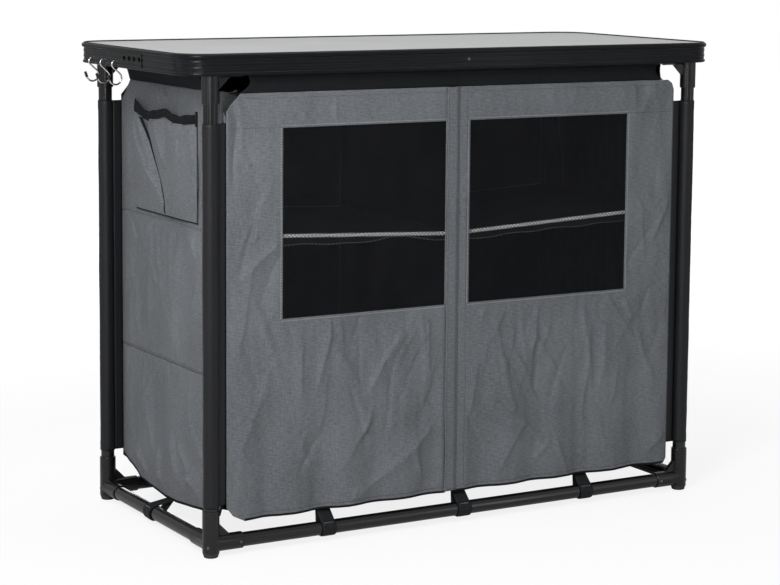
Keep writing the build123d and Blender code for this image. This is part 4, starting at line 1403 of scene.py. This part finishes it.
@dataclass
class Pocket:
    """The side pocket: pleats that stand off the wall, and a bunched black hem."""

    wall_x: float = -434.2
    rear: float = 140.0
    front: float = -106.0
    low: float = 519.0
    high: float = 691.0
    hem_top: float = 703.0
    flat_m: Pair = (0.262, 0.172)
    bulge: Ripple = Ripple(40, 60, 1.2)
    pleats: tuple[float, ...] = (70.0, 66.0, 110.0)
    stand: Pair = (2.0, 13.0)
    share: float = 0.3
    seat: float = 1.2
    relief: float = 1.6
    tab_z: tuple[int, int] = (677, 702)
    seam_z: tuple[int, int] = (519, 689)
    dips: tuple[Pair, ...] = (
        (-106, -9), (-55, -12), (-1, -5), (36, -11), (64, -14), (112, -5), (140, 0),
    )

    def __post_init__(self) -> None:
        """Gather the creases, and work out where the pleats start and end."""
        self.creases = POCKET_CREASES + loose_creases(91, (-100, 135), (525, 680), 14)
        self.marks = [self.rear]
        for pleat in self.pleats:
            self.marks.append(self.marks[-1] - pleat)

    def dip(self, y: float) -> float:
        """How far the pocket's mouth lies above or below its straight line."""
        for (near, low), (far, high) in zip(self.dips, self.dips[1:]):
            if y <= far:
                return low + (high - low) * smooth((y - near) / (far - near))
        return self.dips[-1][1]

    def offset(self, y: float, z: float) -> float:
        """How far the pocket's inner face stands off the wall's middle."""
        height = min((z - self.low) / (self.high - self.low), 1.0)
        stand = self.stand[0] + (self.stand[1] - self.stand[0]) * height
        offs = [0.0] + [stand * (1 - self.share)] * (len(self.pleats) - 1) + [0.0]
        for number, (near, far) in enumerate(zip(self.marks, self.marks[1:])):
            part = (near - y) / (near - far)
            if part <= 1.0001:
                base = offs[number] + (offs[number + 1] - offs[number]) * part
                bow = max(offs[number], offs[number + 1]) + stand * self.share
                middle = (offs[number] + offs[number + 1]) / 2
                return self.seat + base + (bow - middle) * 4 * part * (1 - part)
        return self.seat

    def place(self, y: float, z: float) -> Vector:
        """A point of the pocket's middle face."""
        free = smooth(min(self.rear - y, y - self.front, z - self.low) / 14)
        lift = self.relief * sum(crease.stand(y, z) for crease in self.creases)
        lift += self.bulge.at(y, z, 4.0)
        depth = self.offset(y, z) + 0.6
        z += self.dip(y) * smooth((z - 590) / 101)
        return Vector((self.wall_x - max(depth + free * lift, 1.5), y, z))

    def on_face(self, y: float, z: float) -> Vector:
        """A point on the pocket's outer face."""
        return self.place(y, z) - RIGHT * 0.6

    def hem_point(self, y: float, z: float) -> Vector:
        """A point of the hem, which waves where it is bunched near its rear end."""
        bunch = 0.25 + 0.75 * smooth((y - 20) / 60) * smooth((self.rear - y) / 10)
        wave = noise.noise((y / 11, 1.0, 1.0)) * 4.5 * bunch + noise.noise((y / 30, 2.0, 1.0)) * 1.4
        rise = noise.noise((y / 24, 5.0, 1.0)) * 4.0 * bunch + self.dip(y)
        depth = max(self.offset(y, self.high) + 1.2 + wave, 1.9)
        return Vector((self.wall_x - depth, y, z + rise))

    def hem(self) -> None:
        """The bunched hem along the pocket's mouth."""
        steps = 82
        stations = []
        for number in range(steps + 1):
            y = self.front + 0.2 + (self.rear - self.front - 0.4) * number / steps
            tall = 1.0 + 0.35 * noise.noise((y / 18, 8.0, 1.0)) + 0.25 * smooth((y - 60) / 40)
            stations.append((self.hem_point(y, (self.high + self.hem_top) / 2), -RIGHT, UP * tall))
        bm = swept(stations, oval(3.2, 15.5, 10))
        finish_piece(bm, "pocket_hem_tape", Slot.TAPE, [BLACK_OXFORD], stands_for=["pocket_hem"])

    def pleat_shade(self) -> None:
        """A dark wedge of coated cloth along the deep pleat: painted shade in the fold."""
        steps = 30
        gap = []
        for number in range(steps + 1):
            share = number / steps
            y, z = 86 - 71 * share, self.high - 1 - (self.high - 525) * share
            wide = 1.0 - 0.82 * share
            gap.append((self.place(y, z) - RIGHT * (2.6 * wide), -RIGHT, BACK * wide))
        # Painted shade: a dark strip of coated cloth laid in the pleat's valley, wide at the top
        # and narrow below.
        bm = swept(gap, oval(1.6, 20.0, 6))
        finish_piece(bm, "pocket_pleat_shade", Slot.LINING, [COATED_BACK])

    def seams(self) -> None:
        """An upright tab over the hem's front end, a dark seam down from it, and the low seam."""
        tab = [Vector((self.wall_x - 3.4, self.front + 2.5, z)) for z in range(*self.tab_z, 4)]
        seam = []
        for z in range(*self.seam_z, 6):
            y = self.front + 1.2 + noise.noise((z / 20, 0.4, 0.4)) * 0.8
            seam.append(Vector((self.wall_x - 2.6, y, z)))
        foot = [self.on_face(y, self.low + 1.5) for y in range(-104, 139, 6)]
        bm = swept(along(tab, -RIGHT, BACK), oval(2.6, 7.5))
        join(bm, swept(along(seam, -RIGHT, BACK), oval(1.6, 2.4, 6)))
        join(bm, swept(along(foot, -RIGHT, UP), oval(1.4, 2.2, 6)))
        finish_piece(bm, "pocket_seam_tapes", Slot.TAPE, [BLACK_OXFORD])

    def build(self) -> None:
        """Pocket cloth, hem, the pleat's painted shade, seams and stitches."""
        bm = shape(flat_grid((self.front, self.rear), (self.low, self.high), (112, 78)), self.place)
        sides, nodes = [GREY_OXFORD, COATED_BACK], ["side_pocket"]
        piece = finish_piece(bm, "side_pocket_cloth", Slot.GREY_CLOTH, sides, -RIGHT, 1.0, nodes)
        self.hem()
        self.pleat_shade()
        self.seams()
        rows, z = StitchRow(), self.high - 3
        rows.run(self.on_face, (self.front + 3, z), (self.rear - 3, z), -RIGHT)
        rows.finish("pocket_stitches", DARK_THREAD, Slot.TAPE)


@dataclass
class LegSleeve:
    """A sleeve of black cloth round a leg, with a wing that holds the cabinet's upright corner."""

    corner: str
    x: float
    y: float
    slip: float = 0.0
    span: Pair = (88.0, 699.0)
    ring: float = 12.2
    wing_in: float = 433.7
    wing_y: float = 205.5
    hem: float = 16.0
    flat_width: float = 95.0

    def __post_init__(self) -> None:
        """Let the sleeve down by its slip."""
        self.low, self.high = (end - self.slip for end in self.span)

    def ring_point(self, turn: float, z: float) -> Vector:
        """A point of the sleeve round the leg."""
        angle = math.radians(turn)
        seed = self.x + self.y / 3
        free = smooth(min(z - self.low, self.high - z) / 25)
        pucker = noise.noise((math.cos(angle) * 0.9, math.sin(angle) * 0.9, z / 60 + seed)) * 0.55
        fine = noise.noise((math.cos(angle) * 2.2, math.sin(angle) * 2.2, z / 9 + seed)) * 0.25
        ends = smooth((z - self.high + self.hem) / 1.5) + smooth((self.low + self.hem - z) / 1.5)
        radius = self.ring + max((pucker + fine) * (0.4 + 0.6 * free), -0.25) + 0.28 * ends
        return Vector((self.x + math.cos(angle) * radius, self.y + math.sin(angle) * radius, z))

    def build(self) -> None:
        """The ring and the wing as one cloth."""
        bm = flat_grid((0, 360), (self.low, self.high), (28, 150))
        for off in (self.high - self.hem, self.low + self.hem):
            for step in (-1.0, 1.0):
                score(bm, BACK * (off + step), BACK)
        shape(bm, self.ring_point)
        scale_uv(bm, u=2 * math.pi * self.ring / 360)
        close_ring(bm)
        sx, sy = math.copysign(1, self.x), math.copysign(1, self.y)
        seam_x = abs(self.x) - math.sqrt(self.ring**2 - (abs(self.y) - self.wing_y) ** 2)
        wing = flat_grid((self.wing_in, seam_x), (self.low, self.high), (4, 120))
        join(bm, shape(wing, lambda u, z: Vector((sx * u, sy * self.wing_y, z))))
        node, cloth = f"leg_sleeve_{self.corner}", [STRETCHED_OXFORD]
        piece = finish_piece(bm, f"{node}_cloth", Slot.BLACK_CLOTH, cloth, UP, 0.9, [node])


@dataclass
class TubeLoop:
    """Cloth or webbing looped round a tube, with a tail that reaches the cabinet."""

    centre: Vector
    out: Vector
    ring: float
    half: float
    target: Pair
    tail_half: float
    wave: float = 0.0
    seed: float = 0.0
    pinch: float = 0.0
    strands: tuple[float, ...] = (0.0,)

    def __post_init__(self) -> None:
        """Find the way along the tube."""
        self.along = self.out.cross(UP)

    def place_ring(self, u: float, turn: float) -> Vector:
        """A point of the ring."""
        angle = math.radians(turn)
        radius = self.ring + self.wave * 0.25 * noise.noise((u / 30, turn / 40, self.seed))
        radial = self.out * math.cos(angle) + UP * math.sin(angle)
        return self.centre + self.along * u + radial * radius

    def place_tail(self, u: float, share: float, turn: float = 0.0) -> Vector:
        """A point of the tail, by its share from the ring to the cabinet."""
        reach = Vector(self.target)
        start = Matrix.Rotation(math.radians(turn), 2) @ reach.normalized() * self.ring
        at = start.lerp(reach, share)
        spread = self.half + (self.tail_half - self.half) * share
        spread -= self.pinch * math.sin(math.pi * share)
        side = Vector((reach.y, -reach.x)).normalized()
        fold = noise.noise((u / 26, share, self.seed)) + 0.6 * noise.noise((u / 90, 3.0, self.seed))
        at += side * (self.wave * fold) * math.sin(math.pi * min(share, 0.97))
        return self.centre + self.along * (u / self.half * spread) + self.out * at.x + UP * at.y

    def mesh_ring(self, turns: Pair, steps: tuple[int, int]) -> BMesh:
        """Part of the ring, not yet thick.

        Args:
            turns: where it starts and ends round the tube, in degrees.
            steps: cells along and round the tube.

        Returns:
            The mesh.
        """
        bm = shape(flat_grid((-self.half, self.half), turns, steps), self.place_ring)
        scale_uv(bm, v=2 * math.pi * self.ring / 360)
        return bm

    def mesh(self, cell: float) -> BMesh:
        """Ring and tail, not yet thick.

        Args:
            cell: how long a cell is along the tube.

        Returns:
            The mesh.
        """
        steps = max(2, round(2 * self.half / cell))
        bm = self.mesh_ring((0, 360), (steps, 24))
        close_ring(bm)
        for turn in self.strands:
            tail = flat_grid((-self.half, self.half), (0, 1), (steps, 12))
            shape(tail, lambda u, share, turn=turn: self.place_tail(u, share, turn))
            scale_uv(tail, v=Vector(self.target).length)
            join(bm, tail)
        return bm


@dataclass
class Bands:
    """Black bands that hang the cabinet from the top tubes, and straps that tie it down."""

    leg: Pair = (463.0, 209.0)
    cloth: Pair = (434.2, 207.0)
    cloth_top: float = 737.0
    top_z: float = 775.7
    low_z: float = 22.0
    ring: float = 12.2
    # Each band: half its length, how much wider its tail is, and how far that is drawn in.
    long_band: tuple[float, float, float] = (397.0, 14.0, 9.0)
    short_band: tuple[float, float, float] = (143.0, 26.0, 4.0)
    strap_ring: float = 12.4
    strap_half: float = 12.5
    strap_length: float = 184.0
    strap_xs: tuple[float, ...] = (-255.0, 5.0, 255.0)

    def bands(self) -> None:
        """The four hanging bands."""
        for side, out, axis, (half, flare, pinch) in (
            ("front", -BACK, 1, self.long_band),
            ("rear", BACK, 1, self.long_band),
            ("left", -RIGHT, 0, self.short_band),
            ("right", RIGHT, 0, self.short_band),
        ):
            tube = self.leg[axis]
            target = (self.cloth[axis] - tube, self.cloth_top - self.top_z)
            centre = out * tube + UP * self.top_z
            wide, seed = half + flare, tube + half
            loop = TubeLoop(centre, out, self.ring, half, target, wide, 1.3, seed, pinch)
            node, cloth = f"top_band_{side}", [BLACK_OXFORD]
            bm = loop.mesh(7.0)
            piece = finish_piece(bm, f"{node}_cloth", Slot.BLACK_CLOTH, cloth, out, 0.9, [node])
            length = 2 * math.pi * self.ring + Vector(loop.target).length - self.ring

    def straps(self) -> None:
        """Webbing round the low tubes, with its sewn overlap."""
        bm = bmesh.new()
        rows = StitchRow(length=2.4, pitch=3.6)
        leg_x, leg_y = self.leg
        places = [
            (Vector((x, way * leg_y, self.low_z)), BACK * way, (194.0 - leg_y, 31.5))
            for way in (-1, 1)
            for x in self.strap_xs
        ] + [
            (Vector((way * leg_x, 14.0, self.low_z)), RIGHT * way, (431.8 - leg_x, 17.5))
            for way in (-1, 1)
        ]
        half = self.strap_half
        for number, (centre, out, target) in enumerate(places):
            # Both ends of the webbing leave the tube on a tangent and meet at the cabinet's hem.
            turn = math.degrees(math.acos(self.strap_ring / Vector(target).length))
            ring, ends = self.strap_ring, (-turn, turn)
            loop = TubeLoop(centre, out, ring, half, target, half, 0.25, number, strands=ends)
            join(bm, loop.mesh(4.0))
            # The end of the webbing is sewn back over the loop's outer side.
            over, top = (
                TubeLoop(centre, out, ring + proud, half, target, half, 0.3, number + 20)
                for proud in (1.1, 1.8)
            )
            join(bm, over.mesh_ring((-70, 55), (6, 14)))
            for turn in (-62, 46):
                rows.run(top.place_ring, (-9, turn), (9, turn), out)
        piece = finish_piece(bm, "low_straps", Slot.TAPE, [WEBBING], -UP, 1.0, ["base_straps"])
        rows.finish("strap_stitches", GREY_THREAD, Slot.TAPE)

    def build(self) -> None:
        """Bands and straps."""
        self.bands()
        self.straps()


@dataclass
class HardParts:
    """The CAD nodes that stay: each gets the finish of its real material."""

    smooth_angle: float = 34.0
    weld: float = 0.00001

    def dress(self, name: str, finish: Finish) -> None:
        """Give a node a finish and smooth its round faces.

        Args:
            name: the node.
            finish: what it is made of.
        """
        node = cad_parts[name]
        mesh = node.data
        if not mesh.materials:
            mesh.materials.append(finish.material())
        for index in range(len(mesh.materials)):
            mesh.materials[index] = finish.material()
        mesh.shade_smooth()
        node.modifiers.new("weld", "WELD").merge_threshold = self.weld
        node.modifiers.new("edges", "EDGE_SPLIT").split_angle = math.radians(self.smooth_angle)
        log.info("%s dressed as %s", name, finish.name)

    def build(self) -> None:
        """Every node that shows as it is."""
        names = list(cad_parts)
        plan = {name: POLYPROPYLENE for name in names if "_corner_" in name}
        plan |= {
            name: POWDER_COAT
            for name in names
            if "_tube_" in name or name.startswith("leg_") and "sleeve" not in name
        }
        plan |= {"corner_rivets": RIVET_ALUMINIUM, "rail_screws": RIVET_ALUMINIUM}
        plan |= {"edge_rail": PAINTED_RAIL, "worktop_board": MELAMINE}
        plan |= {"rail_clips": POLYPROPYLENE, "foot_caps": RUBBER}
        for number in (1, 2, 3):
            plan |= {f"hook_{number}": PLATED_WIRE, f"hook_tip_{number}": DIPPED_TIP}
        plan["zip_slider"] = LACQUERED_ZINC
        for name, finish in plan.items():
            self.dress(name, finish)


@dataclass
class RailTrim:
    """Small dark parts of the rail: the board's seal, and painted shade in the strap holes and the
    joint.
    """

    corner: float = 49.8
    proud: float = 1.3
    wall: float = 1.4
    hole_ys: tuple[float, ...] = (-48.0, -28.0, -8.0, 12.0)
    hole_z: float = 783.0
    hole_rim: float = 4.7
    joint_y: float = -60.0
    joint_z: tuple[int, int] = (771, 792)

    def seal(self, reach: Vector) -> None:
        """The seal between board and rail, a hair proud of both.

        Args:
            reach: the board's highest corner, in millimetres.
        """
        stations = []
        inner_x, inner_y = reach.x - self.corner, reach.y - self.corner
        for side_x, side_y, start in ((1, 1, 0), (-1, 1, 90), (-1, -1, 180), (1, -1, 270)):
            turn_at = Vector((side_x * inner_x, side_y * inner_y, reach.z + self.proud))
            for step in range(9):
                angle = math.radians(start + step * 90 / 8)
                way = Vector((math.cos(angle), math.sin(angle), 0))
                stations.append((turn_at + way * (self.corner + 0.5), way, UP))
        bm = swept(stations + stations[:1], oval(2.4, 1.8, 6))
        finish_piece(bm, "board_seal", Slot.TAPE, [RUBBER], body="worktop")

    def hole_shade(self, face: float) -> None:
        """Painted shade: dark rings and linings in the strap holes, and a dark strip in the rail's
        joint.

        Args:
            face: where the rail's left outer face lies.
        """
        bm = bmesh.new()
        for hole_y in self.hole_ys:
            hole = Vector((face, hole_y, self.hole_z))
            turns = [math.radians(step * 18) for step in range(21)]
            ways = [Vector((0, math.cos(turn), math.sin(turn))) for turn in turns]
            ring = [(hole + way * self.hole_rim, way, RIGHT) for way in ways]
            barrel = [(middle + RIGHT * 2.4 - way * 0.6, way, up) for middle, way, up in ring]
            join(bm, swept(ring, oval(1.7, 0.7, 6)))
            join(bm, swept(barrel, oval(0.8, 5.0, 6)))
        # A dark strip over the joint's opening: painted shade.
        joint = [Vector((face, self.joint_y, z)) for z in range(*self.joint_z, 4)]
        join(bm, swept(along(joint, BACK, RIGHT), oval(7.5, 0.9, 6)))
        finish_piece(bm, "rail_hole_shade", Slot.TAPE, [HOLE_SHADE_BLACK], body="worktop")

    def build(self) -> None:
        """Seal, and the painted shade of the holes and the joint."""
        reach = Vector(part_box("worktop_board")[1]) / MM
        self.seal(reach)
        self.hole_shade(-reach.x - self.wall)


@dataclass
class Studio:
    """Camera, lights, floor and backdrop."""

    focal_px: float = 2230.1
    width_px: float = 780.0
    sensor: float = 36.0
    yaw: float = 0.52449
    pitch: float = 0.11701
    roll: float = 0.00801
    eye: tuple[float, float, float] = (-1950.1, -3338.7, 992.0)
    drop_px: float = 100.0
    surround: tuple[float, float, float] = (0.24, 1.0, 0.5)  # as light, as seen, in gloss
    floor_half: float = 9000.0
    floor_drop: float = 0.5
    paper: float = 0.82
    paper_glow: float = 0.8

    def camera(self) -> None:
        """A camera at the photograph's place and angle."""
        data = bpy.data.cameras.new("camera")
        data.sensor_width = self.sensor
        data.lens = self.focal_px * self.sensor / self.width_px
        data.shift_y = -self.drop_px / self.width_px
        data.clip_end = 50.0
        camera = bpy.data.objects.new("camera", data)
        bpy.context.scene.collection.objects.link(camera)
        bpy.context.scene.camera = camera
        right = Vector((math.cos(self.yaw), -math.sin(self.yaw), 0))
        level = UP.cross(right) * math.cos(self.pitch)
        ahead = level - UP * math.sin(self.pitch)
        up = right.cross(ahead)
        side = right * math.cos(self.roll) + up * math.sin(self.roll)
        top = up * math.cos(self.roll) - right * math.sin(self.roll)
        turn = Matrix((side, top, -ahead)).transposed().to_4x4()
        camera.matrix_world = Matrix.Translation(Vector(self.eye) * MM) @ turn

    def lamp(
        self,
        name: str,
        place: Sequence[float],
        target: Sequence[float],
        size: float,
        watts: float,
        tall: float = 1.0,
        spread: float = 180.0,
    ) -> None:
        """A soft light, square or tall.

        Args:
            name: its name.
            place: where it hangs, in metres.
            target: what it faces.
            size: its edge, in metres.
            watts: its power.
            tall: how many times as tall as wide it is.
            spread: the angle that its grid lets out, in degrees.
        """
        data = bpy.data.lights.new(name, "AREA")
        data.shape = "RECTANGLE"
        data.size = size
        data.size_y = size * tall
        data.spread = math.radians(spread)
        data.energy = watts
        lamp = bpy.data.objects.new(name, data)
        bpy.context.scene.collection.objects.link(lamp)
        turn = (Vector(target) - Vector(place)).to_track_quat("-Z", "Y").to_matrix().to_4x4()
        lamp.matrix_world = Matrix.Translation(place) @ turn

    def rays(self, tree: Tree) -> Value:
        """1 for a ray that sees the background straight or through glass."""
        path = tree.add("LightPath").outputs
        return tree.work_out("MAXIMUM", path["Is Camera Ray"], path["Is Transmission Ray"])

    def world(self) -> None:
        """An even pale surround, seen as white, and dimmer in gloss."""
        world = bpy.data.worlds.new("studio")
        bpy.context.scene.world = world
        tree = Tree.of(world)
        lit, seen, in_gloss = self.surround
        gloss = tree.add("LightPath").outputs["Is Glossy Ray"]
        strength = tree.mix(gloss, tree.mix(self.rays(tree), lit, seen), in_gloss)
        background = tree.add("Background", inputs={"Color": WHITE, "Strength": strength})
        tree.add("OutputWorld", inputs={"Surface": background.outputs[0]})

    def floor(self) -> None:
        """A pale floor that keeps the cupboard's shadow."""
        reach = (-self.floor_half, self.floor_half)
        bm = flat_grid(reach, reach, (4, 4))
        bmesh.ops.translate(bm, vec=(0, 0, -self.floor_drop), verts=bm.verts)
        floor = in_metres(bm, "studio_floor")
        made = bpy.data.materials.new("studio_paper")
        tree = Tree.of(made)
        paper = tree.add("BsdfDiffuse", inputs={"Color": (self.paper, self.paper, self.paper, 1.0)})
        place = tree.add("TexCoord").outputs["Object"]
        away = tree.add("VectorMath", {"operation": "LENGTH"}, {0: place}).outputs["Value"]
        # The paper curves up into the light behind, so it is whiter far from the cupboard.
        glow = tree.remap(away, (0.9, 3.0), (1.06, 1.3))
        white = tree.add("Emission", inputs={"Strength": glow})
        share = tree.work_out("MULTIPLY", self.rays(tree), self.paper_glow)
        mix = tree.add("MixShader", inputs={0: share, 1: paper.outputs[0], 2: white.outputs[0]})
        tree.add("OutputMaterial", inputs={"Surface": mix.outputs[0]})
        floor.data.materials.append(made)

    def build(self) -> None:
        """Camera, lights and floor."""
        self.camera()
        self.world()
        self.lamp("key_light", (-2.1, -1.9, 2.1), (0, -0.1, 0.4), 0.8, 58)
        self.lamp("fill_light", (2.6, -3.2, 1.4), (0, 0, 0.4), 2.4, 8)
        self.lamp("top_light", (0.2, 0.4, 3.4), (0, 0, 0.8), 2.2, 35)
        self.lamp("side_light", (-3.6, 0.9, 1.2), (0, 0, 0.4), 1.4, 9)
        self.lamp("rear_light", (0.9, 3.3, 0.45), (0, 0, 0.4), 0.8, 7)
        # Tall strips, for the bright lines down the tubes and round the rail's corner.
        self.lamp("front_strip", (-2.7, -4.3, 0.9), (-0.2, -0.2, 0.6), 0.11, 20, tall=22.0)
        self.lamp("left_strip", (-3.2, -1.43, 0.6), (-0.45, -0.2, 0.6), 0.12, 4.0, tall=18.0)
        self.lamp("right_strip", (1.53, -2.45, 0.6), (-0.45, -0.2, 0.6), 0.08, 1.6, tall=26.0)
        self.lamp("door_light", (-1.25, -1.15, 1.0), (-0.25, -0.2, 0.62), 0.3, 0.9, spread=70.0)
        self.floor()


def main() -> None:
    """Build the classes in order and report each piece."""
    logging.basicConfig(level=logging.INFO, format="%(name)s: %(message)s")
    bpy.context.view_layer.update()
    bpy.context.scene.view_settings.view_transform = "Standard"
    for part in (Studio(), HardParts(), RailTrim(), Cabinet(), Zip(), Inside(), Pocket()):
        part.build()
    # The front left sleeve has slipped down on to its corner, as in the photograph.
    LegSleeve("front_left", -463.0, -209.0, slip=8.0).build()
    LegSleeve("front_right", 463.0, -209.0).build()
    LegSleeve("rear_left", -463.0, 209.0).build()
    LegSleeve("rear_right", 463.0, 209.0).build()
    Bands().build()


if __name__ == "__main__":
    main()
